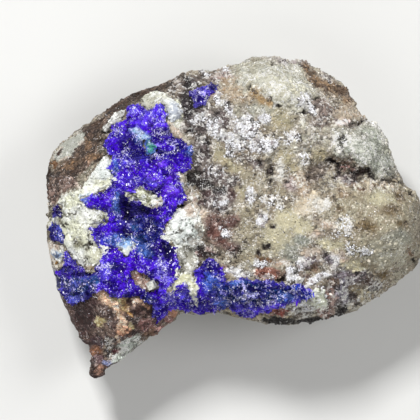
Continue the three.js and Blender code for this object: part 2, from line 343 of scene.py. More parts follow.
def smoothed(mesh, factor):
    shape = bmesh.new()
    shape.from_mesh(mesh)
    for _ in range(2):
        bmesh.ops.smooth_vert(
            shape, verts=shape.verts, factor=factor, use_axis_x=True, use_axis_y=True, use_axis_z=True,
        )
    shape.to_mesh(mesh)
    shape.free()


def triangles(mesh):
    return sum(len(p.vertices) - 2 for p in mesh.polygons)


# the stone

stoneLook = {
    "seed": 31,
    "voxel": 0.32,  # mesh size, halved on the face
    "lumps": [(4.5, 0.28, 1), (1.9, 0.26, 2), (0.85, 0.18, 3), (0.4, 0.1, 4)],  # size, height and seed
    # depths by zone
    "sunk": {"crack": 0.4, "dark groove": 0.25, "hollow by the cube": 0.6, "speckled hollow": 0.15},
    "clumps": {"size": 0.5, "height": 0.15},  # of white grains
    "pressed": 0.1,  # how far the stone sinks under a crust
    # x, y, how far each way, how wide
    "nudged": [
        (-15.0, -14.5, 0.45, 0.0, 0.8), (-14.45, -15.85, -0.2, -0.05, 0.35),
        (-13.6, -15.85, 0.3, -0.1, 0.4), (-15.3, -12.2, -0.25, -0.1, 0.6), (-18.7, 3.7, -0.25, 0.0, 0.9),
    ],
    "footKept": 0.5,  # the broken back stays level up to this height
    "faceTilt": 0.2,  # the face is what leans less than this, as the height of its normal
    "hidden": 0.6,  # and lies above this share of half the stone's height
}
stoneBase = {
    "colour": (168, 160, 142), "second": (144, 132, 114), "dark": 0.22, "light": 0.24,
    "sugar": 0.0,  # white grains
    "shine": 0.85,  # bright glints, and how pale the light specks are
    "crumb": 1.0,  # coarse crumbs
    "rough": 1.0,  # height of the lumps
}
stoneZones = [
    zone("quartz dome", (200, 199, 185), (182, 178, 160), 0.05, 0.26, [
        (3.5, 13.8, 4.0, 2.1), (0.8, 13.9, 1.6, 0.9, 15), (5.6, 12.2, 2.4, 2.0), (2.4, 10.6, 1.8, 0.8),
    ], crumb=0.25, shine=0.8),
    zone("dome edge", (150, 140, 138), (178, 172, 162), 0.32, 0.4, [
        (5.0, 15.8, 1.6, 0.3, -3), (6.7, 15.3, 1.0, 0.35, -30), (9.2, 13.9, 0.9, 0.4, -30),
        (11.4, 12.4, 0.5, 0.6),
    ]),
    zone("brown slope", (144, 118, 90), (98, 79, 63), 0.28, 0.12, [
        (8.4, 13.3, 1.9, 0.55, -40), (10.2, 12.6, 1.3, 0.5, -22), (7.2, 14.5, 1.0, 0.35, -45),
        (11.1, 11.5, 0.6, 0.5),
    ], shine=0.3),
    zone("tan beside the dome", (182, 166, 144), (166, 142, 114), 0.05, 0.15, [
        (-0.4, 12.4, 1.0, 0.8), (0.7, 11.7, 0.9, 0.5), (-0.6, 13.6, 1.0, 0.3, 20),
    ]),
    zone("orange stain", (192, 164, 122), (176, 146, 104), 0.12, 0.1, [
        (2.3, 11.95, 1.0, 0.45, -35), (3.3, 11.2, 0.45, 0.28, -40),
    ]),
    zone("grey field", (182, 177, 160), (162, 154, 140), 0.17, 0.3, [
        (8.4, 7.8, 2.4, 1.3), (6.0, 6.4, 1.3, 1.6), (6.8, 9.0, 1.6, 0.8), (0.3, 10.4, 0.9, 0.9),
    ]),
    zone("olive quartz", (182, 170, 140), (172, 164, 136), 0.04, 0.14, [
        (4.4, 9.5, 1.2, 1.0), (4.8, 6.0, 1.2, 0.8), (-1.9, 6.3, 0.9, 0.7, -40),
        (-0.6, 5.0, 1.6, 0.55, -35), (0.4, 2.2, 0.6, 0.7), (8.3, 6.0, 0.7, 0.8), (5.6, 4.8, 0.6, 0.6),
    ], rough=0.6, crumb=0.3),
    zone("pink-tan lump", (190, 176, 156), (180, 162, 142), 0.05, 0.15, [
        (11.0, 10.5, 1.1, 0.7, 20), (12.0, 10.2, 0.7, 0.5),
    ], crumb=0.15),
    zone("speckled hollow", (146, 130, 122), (120, 104, 96), 0.42, 0.38, [
        (8.6, 10.6, 1.3, 0.9), (8.0, 11.4, 0.9, 0.5), (8.4, 9.3, 1.0, 0.4), (11.8, 9.1, 0.7, 0.4),
    ]),
    zone("knob", (160, 164, 150), (186, 189, 176), 0.1, 0.3, [
        (13.3, 7.2, 1.9, 2.1), (14.3, 5.4, 1.5, 1.3), (11.2, 7.0, 1.4, 1.0), (12.6, 6.0, 1.2, 1.0),
    ], rough=0.6, crumb=0.15, turn=-40),
    zone("knob shade", (152, 150, 138), (172, 172, 160), 0.3, 0.36, [
        (10.4, 8.0, 0.9, 0.8), (12.3, 7.9, 0.7, 0.5), (15.2, 4.4, 0.6, 0.5), (10.2, 6.6, 0.5, 0.5),
    ]),
    zone("knob edge", (232, 230, 222), (222, 220, 212), 0.05, 0.6, [
        (13.8, 9.3, 0.7, 0.32, -18), (14.7, 8.6, 0.7, 0.26, -55), (12.0, 6.2, 1.3, 0.07, -38),
        (13.0, 5.0, 0.6, 0.07, -38),
    ], soft=0.16),
    zone("boulder", (174, 166, 143), (162, 151, 127), 0.1, 0.14, [
        (13.5, 0.8, 4.6, 2.2), (15.5, -2.2, 3.2, 3.6), (12.5, -3.0, 3.0, 2.0), (17.0, 1.0, 1.6, 2.4),
    ], rough=0.6, crumb=0.12, shine=0.6),
    zone("boulder brow", (190, 178, 156), (152, 134, 110), 0.26, 0.36, [
        (12.8, 3.2, 2.6, 0.5, -6), (10.8, 2.6, 1.2, 0.7, 20), (15.4, 2.6, 1.2, 0.4, -20),
    ]),
    zone("yellow quartz", (212, 204, 172), (200, 192, 162), 0.02, 0.08, [
        (5.2, -0.3, 1.6, 1.2, 30), (3.9, -2.2, 1.6, 1.5), (6.6, -1.2, 1.0, 0.9),
        (9.3, -2.7, 1.5, 0.4, -15), (12.0, -5.0, 1.2, 0.5, -10), (14.2, 1.8, 1.2, 0.5),
    ], rough=0.5, crumb=0.15),
    zone("plain quartz", (172, 163, 140), (156, 146, 122), 0.14, 0.16, [
        (1.4, -1.6, 1.2, 1.4), (1.0, 3.5, 1.0, 1.0), (0.8, 0.4, 0.9, 0.8), (2.6, 4.4, 0.8, 0.7),
        (4.6, 2.6, 0.8, 0.5),
    ], crumb=0.25),
    zone("low quartz", (170, 164, 142), (156, 146, 122), 0.12, 0.16, [(1.5, -3.9, 1.5, 0.9)], crumb=0.15),
    zone("dome glow", (220, 218, 200), (202, 198, 178), 0.03, 0.35, [
        (4.6, 12.8, 2.4, 1.1, -25), (2.2, 13.9, 1.2, 0.5, 10),
    ], crumb=0.15, turn=50),
    zone("cream ridge", (226, 214, 192), (214, 198, 172), 0.03, 0.24, [
        (7.2, 1.7, 1.2, 0.5, 25), (6.7, 0.7, 0.9, 0.6),
    ], crumb=0.2),
    zone("white ridge", (226, 222, 212), (212, 206, 194), 0.05, 0.4, [
        (8.5, 1.2, 0.9, 0.7), (4.2, 4.9, 0.4, 0.8), (3.9, 3.8, 0.5, 0.4),
    ], soft=0.16),
    zone("bluish quartz", (160, 160, 146), (148, 150, 138), 0.08, 0.16, [
        (5.4, -3.6, 0.9, 1.0), (6.4, -2.4, 0.9, 0.5, -10), (16.0, -2.3, 1.4, 1.0),
    ], rough=0.5, crumb=0.2),
    zone("rosy streaks", (192, 168, 148), (204, 190, 176), 0.08, 0.3, [
        (9.0, -0.8, 0.9, 0.35, -30), (10.4, -3.9, 0.9, 0.35, -30), (8.0, -1.7, 0.9, 0.25, 5),
        (7.4, -3.5, 0.9, 0.4), (4.5, -4.5, 0.8, 0.35),
    ]),
    zone("olive stains", (132, 112, 78), (114, 98, 70), 0.22, 0.12, [
        (12.9, -1.0, 1.2, 0.6, -12), (15.2, 0.6, 0.9, 0.5), (16.5, -0.8, 0.7, 0.4),
        (10.1, 0.8, 0.5, 0.3, -20), (16.3, 1.8, 0.4, 0.7), (13.4, -4.7, 1.1, 0.35), (14.8, -5.9, 0.8, 0.5),
    ], shine=0.5),
    zone("boulder low", (194, 189, 169), (180, 173, 152), 0.12, 0.2, [
        (15.2, -3.6, 2.4, 1.6),
    ], rough=0.6, crumb=0.3, shine=0.6),
    zone("far edge", (172, 166, 148), (156, 146, 128), 0.16, 0.14, [
        (17.2, -5.4, 1.8, 1.0, 30), (18.4, -1.0, 0.6, 3.0),
    ], shine=0.5),
    zone("purple speckle", (126, 116, 124), (106, 92, 96), 0.42, 0.46, [
        (9.4, -4.3, 0.7, 1.0, 40), (10.8, -6.0, 1.7, 0.7, -8), (10.4, -7.6, 1.8, 0.9, 20),
        (7.2, -4.5, 1.0, 0.6), (9.2, -8.7, 1.2, 0.6, 10), (12.4, -5.9, 0.8, 0.5),
    ]),
    # partly painted light: the pale colour is lifted above its own tone to make up for the shade on this
    # downward slope; the dark specks are its own
    zone("grey bank", (224, 222, 214), (96, 84, 78), 0.6, 0.6, [
        (6.4, -9.3, 1.6, 0.6, 5), (5.8, -6.2, 0.8, 1.0), (11.8, -8.4, 1.6, 0.5, 25),
        (13.6, -7.0, 1.0, 0.6, 20),
    ], shine=1.0),
    zone("green-grey bank", (190, 194, 178), (158, 160, 144), 0.3, 0.5, [(6.4, -8.6, 1.1, 0.3, 10)]),
    zone("rosy bank", (204, 176, 166), (140, 108, 98), 0.35, 0.55, [
        (9.4, -8.1, 0.6, 1.2), (8.9, -9.4, 0.8, 0.4),
    ]),
    zone("lilac bank", (172, 168, 182), (116, 108, 122), 0.45, 0.5, [
        (10.7, -7.4, 0.6, 1.3), (9.9, -4.3, 0.6, 0.6),
    ], shine=1.0),
    zone("cream bank", (206, 198, 172), (176, 164, 138), 0.2, 0.4, [
        (12.8, -7.7, 0.9, 0.6, 20), (11.4, -9.0, 0.4, 0.25, 20),
    ]),
    zone("brown bank", (74, 54, 46), (54, 40, 36), 0.3, 0.2, [
        (11.6, -8.0, 0.5, 0.4),
    ], soft=0.2, shine=0.3),
    zone("olive bank", (148, 136, 108), (128, 114, 90), 0.1, 0.1, [
        (11.9, -7.2, 0.6, 0.45),
    ], soft=0.2, crumb=0.1),
    zone("brown crumbs", (112, 92, 80), (78, 62, 54), 0.4, 0.3, [(13.1, -6.4, 0.8, 0.5)]),
    zone("brown knobs", (142, 120, 98), (108, 84, 74), 0.2, 0.15, [
        (7.9, -5.1, 0.6, 0.5), (9.6, -6.6, 0.6, 0.4), (4.8, -5.9, 0.4, 0.4), (7.0, -6.1, 0.6, 0.3, 30),
    ]),
    zone("speckled band", (120, 109, 107), (92, 80, 78), 0.45, 0.36, [
        (-3.6, 9.6, 1.5, 1.8), (-3.4, 6.6, 1.1, 1.7, 5), (-2.4, 4.2, 1.5, 1.1, -20),
        (-1.9, 1.5, 1.6, 1.2), (-0.6, 3.4, 0.9, 0.8), (-1.4, 9.6, 1.2, 0.9, -30),
        (1.8, 5.3, 1.2, 0.5, -20), (-0.4, -3.2, 0.9, 0.5, -20), (-4.1, 4.9, 0.8, 0.5),
    ]),
    zone("top band", (128, 116, 106), (96, 84, 76), 0.45, 0.42, [
        (-6.0, 13.0, 1.3, 0.8, 15), (-3.0, 13.7, 1.6, 0.6), (-5.4, 11.8, 0.7, 1.2),
        (-5.4, 9.4, 0.6, 1.0, 20),
    ], shine=0.8),
    zone("curved stripes", (152, 128, 122), (184, 172, 164), 0.25, 0.4, [
        (-1.4, 13.9, 1.2, 0.35, 6), (-2.2, 12.2, 0.7, 0.5),
    ]),
    zone("lilac speckle", (70, 61, 66), (38, 31, 36), 0.5, 0.3, [
        (-4.8, 11.0, 0.7, 1.6), (-4.5, 13.1, 0.8, 0.7),
    ], shine=1.0),
    zone("mauve flat", (182, 164, 160), (150, 132, 128), 0.2, 0.3, [(5.5, 3.2, 0.8, 0.8)], crumb=0.3),
    zone("rosy flank", (214, 194, 170), (180, 158, 134), 0.2, 0.3, [
        (6.5, 3.2, 0.55, 1.3, 10),
    ], crumb=0.3),
    zone("dark groove", (38, 27, 27), (26, 19, 21), 0.6, 0.16, [
        (-4.3, 3.75, 1.0, 0.7, -30), (-3.7, 3.1, 0.6, 0.5, -30), (-3.0, 3.2, 0.9, 0.4, -20),
        (-1.9, 2.6, 0.8, 0.4), (-3.6, -3.6, 1.5, 0.5, -12), (-4.4, 11.3, 0.25, 0.8),
        (-4.9, 13.4, 0.35, 0.5, -20), (-4.6, 8.6, 0.55, 0.45), (-3.75, 8.3, 0.16, 0.8, 8),
        (-3.0, 7.5, 0.6, 0.14, -25), (-5.3, 1.15, 0.5, 0.14, -10),
    ], crumb=0.2, shine=0.9),
    zone("mauve spots", (90, 67, 65), (74, 55, 54), 0.2, 0.12, [
        (-3.2, 2.3, 0.5, 0.5), (-0.6, 2.1, 0.45, 0.8, 20), (-3.5, 1.4, 0.4, 0.3),
    ], crumb=0.3, shine=0.4),
    zone("grey-brown slope", (124, 112, 100), (92, 80, 72), 0.3, 0.25, [
        (8.0, 4.3, 1.2, 0.7, 35),
    ], shine=0.4),
    zone("red-brown", (122, 94, 86), (104, 76, 70), 0.18, 0.16, [
        (-2.0, -1.2, 1.4, 1.6, 15), (-1.2, -2.8, 1.4, 0.5, -15), (-0.4, -0.4, 0.7, 0.7),
    ], shine=0.55),
    zone("red", (122, 82, 72), (104, 68, 62), 0.12, 0.12, [
        (-2.3, -1.5, 0.6, 0.6), (-1.5, -2.4, 0.5, 0.3), (4.3, -9.5, 1.1, 0.22, 8), (-1.2, -5.3, 0.4, 0.5),
    ], shine=0.4),
    zone("red below the band", (170, 92, 78), (128, 64, 56), 0.2, 0.2, [
        (4.5, -9.5, 1.0, 0.24, 8),
    ], shine=0.5, soft=0.16),
    zone("crumbs below the red", (222, 206, 192), (170, 140, 126), 0.2, 0.4, [
        (3.1, -6.05, 0.5, 0.22, -10), (4.8, -9.9, 0.5, 0.16),
    ], shine=0.8, soft=0.16),
    zone("gossan rim", (106, 86, 71), (70, 54, 44), 0.36, 0.2, [
        (-17.0, 4.2, 2.4, 1.3, 40), (-14.9, 6.6, 2.2, 1.2, 38), (-13.6, 9.0, 2.2, 0.8, 38),
        (-11.4, 11.2, 2.4, 0.9, 28), (-8.6, 12.8, 2.2, 0.7, 17), (-13.4, 7.4, 1.0, 0.8, 40),
    ], crumb=0.4, shine=0.2, rough=0.8, turn=38),
    zone("gossan pink", (138, 112, 101), (92, 71, 62), 0.34, 0.26, [
        (-16.5, 3.0, 1.4, 0.4, 15), (-18.2, 2.2, 0.8, 0.9), (-17.2, 3.6, 0.9, 0.4),
        (-14.6, 5.6, 0.9, 0.3, 30),
    ], shine=0.4, turn=25),
    zone("gossan green", (120, 116, 100), (92, 86, 72), 0.3, 0.35, [
        (-14.8, 4.4, 0.7, 0.35, 35), (-15.25, 3.4, 0.35, 0.25, 50), (-13.3, 6.5, 0.5, 0.6),
        (-15.4, 8.6, 0.4, 0.3), (-18.6, 0.2, 0.5, 1.3), (-18.6, -3.4, 0.4, 2.4), (-12.6, 5.9, 0.7, 0.2),
    ], shine=0.4),
    zone("gossan brown", (86, 66, 54), (60, 46, 38), 0.3, 0.1, [
        (-14.3, 8.7, 1.3, 0.5, 35), (-11.6, 11.0, 1.4, 0.4, 28), (-16.0, 4.6, 0.9, 0.3, 30),
        (-9.0, 12.0, 1.2, 0.35, 20),
    ], shine=0.12, turn=38),
    zone("gossan orange", (146, 114, 82), (108, 84, 62), 0.2, 0.18, [
        (-14.3, 5.9, 0.8, 0.4, 25), (-14.8, 7.2, 0.4, 0.5), (-16.6, 5.1, 0.8, 0.2, 25),
    ], shine=0.15, turn=30),
    zone("gossan rust", (132, 92, 54), (106, 72, 44), 0.2, 0.1, [
        (-18.3, 5.3, 0.6, 0.35, 10), (-18.5, 3.9, 0.3, 0.3),
    ], shine=0.1, soft=0.2),
    zone("gossan darks", (50, 32, 20), (40, 26, 18), 0.3, 0.03, [
        (-18.55, 4.0, 0.4, 0.6), (-13.6, 5.7, 0.5, 0.25, 10), (-13.5, 7.7, 0.6, 0.35, 40),
        (-15.9, 4.0, 0.3, 0.12), (-10.0, 12.2, 0.7, 0.2, 18), (-9.2, 11.7, 0.6, 0.25, 20),
        (-13.2, 8.6, 0.6, 0.2, 40), (-18.9, 2.6, 0.2, 0.8),
    ], shine=0.15, soft=0.16),
    zone("pale block", (192, 193, 183), (180, 181, 170), 0.03, 0.14, [
        (-16.9, 6.9, 1.6, 0.75, 32), (-15.9, 7.8, 0.9, 0.5, 32), (-17.6, 6.2, 0.8, 0.5, 20),
    ], crumb=0.0, rough=0.3, shine=0.5, soft=0.12),
    zone("pale block rim", (206, 196, 182), (194, 180, 166), 0.0, 0.3, [
        (-17.1, 5.9, 0.6, 0.22, 20), (-15.6, 7.3, 0.3, 0.3), (-17.7, 6.8, 0.25, 0.15),
    ], soft=0.16),
    zone("pale block spot", (62, 38, 26), (54, 34, 24), 0.1, 0.0, [
        (-17.65, 6.4, 0.36, 0.26, 30),
    ], soft=0.12),
    zone("brown above the crack", (112, 96, 80), (76, 60, 50), 0.4, 0.25, [
        (10.9, 5.35, 0.7, 0.28, -12), (9.6, 5.5, 0.8, 0.45, -20), (12.4, 4.45, 1.1, 0.36, -10),
    ]),
    zone("crack", (46, 30, 26), (28, 18, 16), 0.4, 0.12, [
        (9.4, 5.4, 0.5, 0.36, -35), (10.0, 5.1, 0.65, 0.3, -25), (10.5, 4.35, 0.7, 0.3, -25),
        (11.9, 4.2, 0.7, 0.26, -8), (12.7, 4.25, 0.7, 0.3, -8), (13.5, 4.0, 0.5, 0.2, -15),
        (9.9, 3.8, 0.6, 0.2, 40), (14.2, 3.8, 0.5, 0.1, -25), (15.0, 3.5, 0.5, 0.1, -25),
        (15.8, 3.3, 0.5, 0.09, -8), (7.0, 12.15, 0.4, 0.16, -20), (10.35, 7.8, 0.2, 0.1),
        (8.45, 6.35, 0.12, 0.12), (11.65, 8.75, 0.3, 0.2), (14.25, 8.75, 0.5, 0.1, -52),
        (17.4, 2.35, 0.5, 0.2, -20), (3.45, 4.7, 0.3, 0.5, 10), (2.2, 5.4, 0.6, 0.1, -35),
        (3.5, 3.5, 0.25, 0.25), (4.8, 3.4, 0.3, 0.2), (-5.4, 1.2, 0.6, 0.2), (3.0, -3.0, 0.6, 0.34, -25),
        (2.2, -3.6, 0.3, 0.36, 15), (3.55, -1.0, 0.26, 0.28, -10), (4.3, -6.4, 0.6, 0.3),
        (7.6, 11.95, 0.5, 0.2), (6.25, 11.2, 0.16, 0.5, 15), (6.9, 10.25, 0.5, 0.2, -10),
        (4.2, 10.9, 0.28, 0.22), (3.4, 11.7, 0.22, 0.28), (1.8, 12.4, 0.16, 0.16),
        (1.3, 12.7, 0.16, 0.25), (3.6, 15.5, 0.5, 0.1, -25), (12.1, -5.6, 0.14, 0.3),
        (17.9, -4.6, 0.22, 0.3), (13.3, 9.45, 0.14, 0.25), (12.4, 2.75, 0.3, 0.2),
        (12.3, 9.4, 0.7, 0.16, 15), (0.2, -3.4, 0.6, 0.14, -15),
    ], shine=0.3, soft=0.2),
    zone("ledge in the crack", (140, 106, 100), (108, 78, 72), 0.2, 0.15, [
        (11.1, 4.75, 0.7, 0.2, -6),
    ], shine=0.4, soft=0.2),
    zone("pinkish below the lump", (220, 204, 198), (180, 164, 160), 0.2, 0.5, [
        (10.6, 9.45, 0.7, 0.35),
    ], soft=0.2),
    zone("below the crack", (150, 138, 136), (112, 98, 98), 0.42, 0.36, [(11.0, 3.75, 1.0, 0.4, -15)]),
    zone("brown stain", (124, 86, 52), (108, 76, 48), 0.1, 0.05, [
        (17.4, -3.7, 0.3, 0.5, 20), (2.9, -4.1, 0.95, 0.22, -8), (12.4, 2.7, 0.3, 0.2),
    ]),
    zone("rosy strip beside the field", (224, 206, 190), (202, 186, 168), 0.12, 0.3, [
        (-4.4, 1.1, 0.9, 0.32, -35), (-3.3, 0.3, 0.35, 0.4), (-5.9, 8.4, 0.4, 0.8, 30),
        (-6.4, 9.2, 0.3, 0.4), (-2.6, -3.4, 0.5, 0.3),
    ]),
    zone("under the band", (196, 184, 156), (176, 162, 134), 0.2, 0.25, [
        (-0.5, -9.5, 0.9, 0.3, -20), (2.5, -9.8, 1.2, 0.25), (5.3, -9.9, 0.6, 0.2), (-0.5, -6.2, 0.5, 0.4),
    ]),
    zone("shaded foot", (34, 28, 24), (26, 22, 19), 0.4, 0.02, [
        (-0.6, -9.95, 1.0, 0.14, -22), (3.1, -10.1, 0.5, 0.2), (4.4, -10.3, 1.6, 0.4, -5),
        (7.8, -10.35, 2.2, 0.5, 5), (10.0, -9.9, 1.3, 0.4, 12), (10.6, -9.2, 0.6, 0.3, 20),
    ], above=8.0, soft=0.16),
    zone("horn", (108, 84, 74), (68, 48, 43), 0.32, 0.2, [
        (-13.0, -10.6, 4.4, 3.0, -30), (-9.4, -9.6, 2.6, 2.0), (-13.4, -14.0, 1.8, 2.6),
        (-16.4, -9.6, 1.6, 2.0),
    ], crumb=0.2, shine=0.22, rough=0.7, soft=0.12, turn=-20),
    zone("horn left", (76, 49, 49), (50, 31, 31), 0.2, 0.12, [
        (-15.2, -9.8, 1.2, 1.5), (-14.4, -8.7, 1.0, 0.7), (-14.8, -11.0, 0.8, 0.7),
    ], shine=0.2, turn=-35),
    zone("horn grey", (122, 101, 94), (80, 60, 54), 0.3, 0.24, [
        (-12.9, -9.6, 0.8, 0.7, -30), (-12.7, -10.6, 0.5, 0.5), (-10.1, -10.4, 0.5, 0.5),
    ], shine=0.4, turn=-20),
    zone("horn taupe", (118, 99, 88), (94, 76, 68), 0.16, 0.12, [
        (-13.3, -11.45, 1.2, 0.45),
    ], shine=0.3, turn=-5),
    zone("horn purple", (110, 82, 86), (66, 45, 53), 0.3, 0.24, [
        (-13.8, -12.5, 0.7, 0.45),
    ], shine=0.5, turn=-60),
    zone("horn flecks", (156, 144, 126), (62, 48, 50), 0.45, 0.36, [
        (-12.7, -13.3, 0.6, 0.9), (-12.7, -12.3, 0.5, 0.35),
    ], shine=0.9, turn=70),
    zone("horn ochre", (206, 180, 130), (126, 96, 62), 0.25, 0.3, [
        (-11.6, -8.55, 1.1, 0.5, -15), (-11.0, -9.1, 0.5, 0.4), (-12.3, -8.9, 0.5, 0.35, -30),
    ], shine=0.3, crumb=0.5, soft=0.2, turn=-25),
    zone("horn yellow", (226, 212, 164), (186, 166, 116), 0.08, 0.25, [
        (-13.6, -10.5, 0.5, 0.42), (-10.6, -10.95, 0.35, 0.3, -20), (-12.0, -8.3, 0.35, 0.2),
    ], shine=0.4, soft=0.16, turn=20),
    zone("horn rib", (250, 214, 184), (210, 170, 138), 0.18, 0.24, [
        (-13.25, -7.5, 0.55, 0.5, -40), (-12.9, -8.2, 0.7, 0.45, -45), (-12.2, -8.9, 0.6, 0.4, -40),
        (-11.75, -9.6, 0.4, 0.7, 10), (-11.45, -10.6, 0.45, 0.8, 10), (-11.7, -12.1, 0.14, 0.6, 15),
        (-9.9, -8.35, 0.5, 0.35, -20),
    ], shine=0.5, crumb=0.5, soft=0.2, turn=-40),
    zone("horn orange", (200, 152, 122), (166, 118, 90), 0.18, 0.2, [
        (-11.25, -11.3, 0.6, 0.5), (-8.85, -9.0, 0.42, 0.3), (-6.5, -9.7, 0.45, 0.35, 20),
    ], shine=0.25, soft=0.16),
    zone("horn bright", (236, 182, 104), (206, 148, 76), 0.05, 0.2, [
        (-10.55, -9.7, 0.4, 0.24, -20),
    ], shine=0.2, soft=0.16),
    zone("horn darks", (66, 42, 38), (48, 29, 27), 0.2, 0.05, [
        (-10.6, -8.5, 0.25, 0.4), (-9.7, -9.35, 0.8, 0.3), (-8.7, -9.5, 0.5, 0.2), (-6.9, -9.2, 0.5, 0.4),
        (-12.6, -14.85, 0.8, 0.12, 15), (-15.2, -10.5, 0.7, 0.5), (-14.6, -12.5, 0.7, 0.16, -35),
        (-10.2, -11.5, 0.4, 0.14, -20), (-14.1, -15.85, 0.8, 0.35), (-12.2, -10.9, 0.4, 0.1, -20),
        (-11.9, -14.75, 0.9, 0.12, 20),
    ], shine=0.1, soft=0.16),
    zone("horn red", (160, 110, 104), (106, 70, 66), 0.2, 0.3, [
        (-8.8, -10.8, 0.9, 0.6, -15), (-7.9, -11.3, 0.8, 0.5, 20), (-9.4, -10.5, 0.5, 0.35),
        (-6.7, -10.3, 0.5, 0.35, 20),
    ], shine=0.4, turn=-10),
    zone("horn brown end", (136, 106, 84), (92, 70, 56), 0.2, 0.2, [
        (-8.7, -11.7, 0.7, 0.3, 20),
    ], shine=0.3, turn=20),
    zone("horn dark red", (120, 54, 58), (94, 42, 46), 0.1, 0.1, [
        (-12.1, -13.7, 0.26, 0.45),
    ], shine=0.3, soft=0.16),
    zone("horn pale", (240, 248, 238), (158, 164, 152), 0.28, 0.45, [
        (-10.8, -12.7, 1.0, 0.5, 10), (-9.8, -12.1, 0.5, 0.3, 20), (-11.2, -13.6, 0.9, 0.45, 35),
        (-9.7, -12.9, 0.6, 0.3, 20), (-12.0, -14.2, 0.5, 0.3, 20),
    ], above=7.5, shine=0.9, soft=0.2, turn=28),
    zone("horn stalk", (142, 98, 70), (92, 60, 43), 0.25, 0.14, [
        (-14.0, -13.45, 0.8, 0.55),
    ], shine=0.2, soft=0.2, turn=-30),
    zone("horn band", (130, 104, 104), (88, 66, 70), 0.25, 0.18, [
        (-13.9, -14.35, 0.8, 0.35),
    ], shine=0.5, soft=0.16),
    zone("horn tip", (166, 126, 106), (110, 80, 66), 0.2, 0.14, [
        (-13.65, -15.15, 0.5, 0.3, 15),
    ], shine=0.3, soft=0.16, turn=20),
    zone("horn blue", (146, 156, 206), (108, 114, 168), 0.1, 0.3, [
        (-12.9, -14.55, 0.5, 0.3),
    ], shine=0.7, soft=0.16),
    zone("bed of the crusts", (232, 233, 214), (212, 210, 190), 0.08, 0.25, [
        (-14.9, -1.2, 2.4, 3.2), (-13.0, 3.8, 1.4, 0.8, 45), (-16.5, 0.6, 1.3, 0.8, 20),
        (-17.7, -0.6, 0.9, 0.9), (-5.1, -1.2, 1.5, 1.7), (-5.1, -5.0, 0.8, 1.9), (-8.0, 11.3, 1.3, 0.9),
        (-6.0, 10.2, 0.7, 1.2),
    ], soft=0.16, crumb=0.3),
    zone("left block", (226, 210, 192), (206, 192, 172), 0.1, 0.3, [
        (-18.2, -3.4, 0.9, 1.3),
    ], soft=0.16, crumb=0.0, rough=0.5),
    zone("brown by the stem", (66, 42, 40), (40, 24, 26), 0.35, 0.22, [
        (-3.3, -3.5, 1.4, 0.6, -12), (-3.85, -4.6, 0.35, 1.1), (-4.3, -3.0, 0.5, 0.3),
    ], soft=0.2, crumb=0.2, shine=0.6),
    zone("pinkish by the stem", (176, 152, 144), (140, 112, 106), 0.2, 0.4, [
        (-2.6, -3.35, 0.6, 0.18, -25), (-4.1, -3.6, 0.3, 0.14, 60),
    ], soft=0.2),
    zone("edge of the blue foot", (56, 62, 120), (34, 34, 80), 0.3, 0.3, [
        (-17.9, -6.7, 0.5, 1.4),
    ], soft=0.16, shine=0.6),
    zone("under the island", (166, 128, 114), (186, 158, 140), 0.2, 0.2, [(-9.6, -6.1, 1.3, 0.9, -30)]),
    # painted shade: near-black in the hollow below the cube
    zone("hollow by the cube", (28, 20, 24), (24, 18, 20), 0.3, 0.0, [
        (-8.75, -7.5, 0.3, 0.3),
    ], soft=0.16),
    zone("red pebble", (166, 108, 88), (128, 80, 66), 0.2, 0.2, [
        (2.9, -5.6, 1.35, 0.75, -14),
    ], sugar=0.0, crumb=0.3, shine=0.5, soft=0.16),
    zone("crumbs on the red pebble", (226, 210, 200), (176, 150, 138), 0.25, 0.45, [
        (3.2, -6.0, 0.6, 0.25, -10),
    ], sugar=0.2, shine=0.9, soft=0.16),
    zone("thin grains", None, None, 0.5, 0.45, [
        (3.4, 1.9, 1.1, 0.6, -10), (4.0, 1.1, 0.9, 0.3, -12), (5.6, 8.0, 0.9, 0.6), (3.6, 7.7, 1.0, 0.5),
        (-2.4, 4.5, 1.0, 0.5, -20), (10.7, -0.9, 0.8, 1.0), (6.2, -8.9, 1.1, 0.5), (9.9, -1.6, 0.7, 0.5),
        (11.3, -3.0, 0.5, 0.9), (12.7, -3.4, 0.8, 0.4, 10), (6.8, -9.0, 0.9, 0.4, 10),
        (-0.7, -1.45, 0.4, 0.4), (7.0, 6.0, 0.5, 1.1, -8), (2.6, -0.4, 0.6, 0.7),
    ], soft=0.16, sugar=0.5, shine=0.9),
    zone("frosted", None, None, 0.4, 0.5, [(10.3, 7.7, 0.9, 0.8, -20)], sugar=0.12, shine=1.0),
    zone("white grains", (208, 206, 202), (146, 138, 138), 0.55, 0.5, [
        (-3.5, 10.0, 0.8, 0.35, -15), (-2.2, 8.9, 0.9, 0.7), (-1.3, 8.0, 0.8, 0.6), (0.0, 7.4, 1.0, 1.1),
        (0.9, 8.8, 1.3, 1.1), (2.9, 9.6, 0.5, 0.6), (2.1, 7.2, 1.1, 0.7), (3.3, 7.0, 0.8, 0.6, 20),
        (-0.4, 6.3, 0.7, 0.4, 30), (1.4, 2.2, 0.45, 0.7), (2.6, -0.4, 0.55, 0.65),
        (0.2, -5.5, 1.4, 0.45, -5), (2.7, -4.5, 0.7, 0.35), (5.5, -5.8, 0.5, 0.8, -15),
        (6.5, -4.6, 0.4, 0.8), (8.2, -7.8, 0.7, 0.9), (7.4, -6.6, 0.9, 0.3, 30),
        (8.5, -5.9, 0.8, 0.3, 25), (6.8, 11.2, 1.0, 0.4, -58), (7.5, 10.5, 0.5, 0.3, -20),
        (-1.25, -1.45, 0.3, 0.4), (-1.5, 1.3, 0.6, 0.35), (-1.7, 11.6, 0.35, 0.8, 20),
        (-0.6, 10.6, 0.35, 0.9, 30), (-1.2, 14.45, 0.7, 0.22), (-3.2, 14.35, 0.5, 0.16, -15),
        (-4.1, 9.4, 0.4, 0.22),
    ], soft=0.16, sugar=1.0, shine=1.0),
]


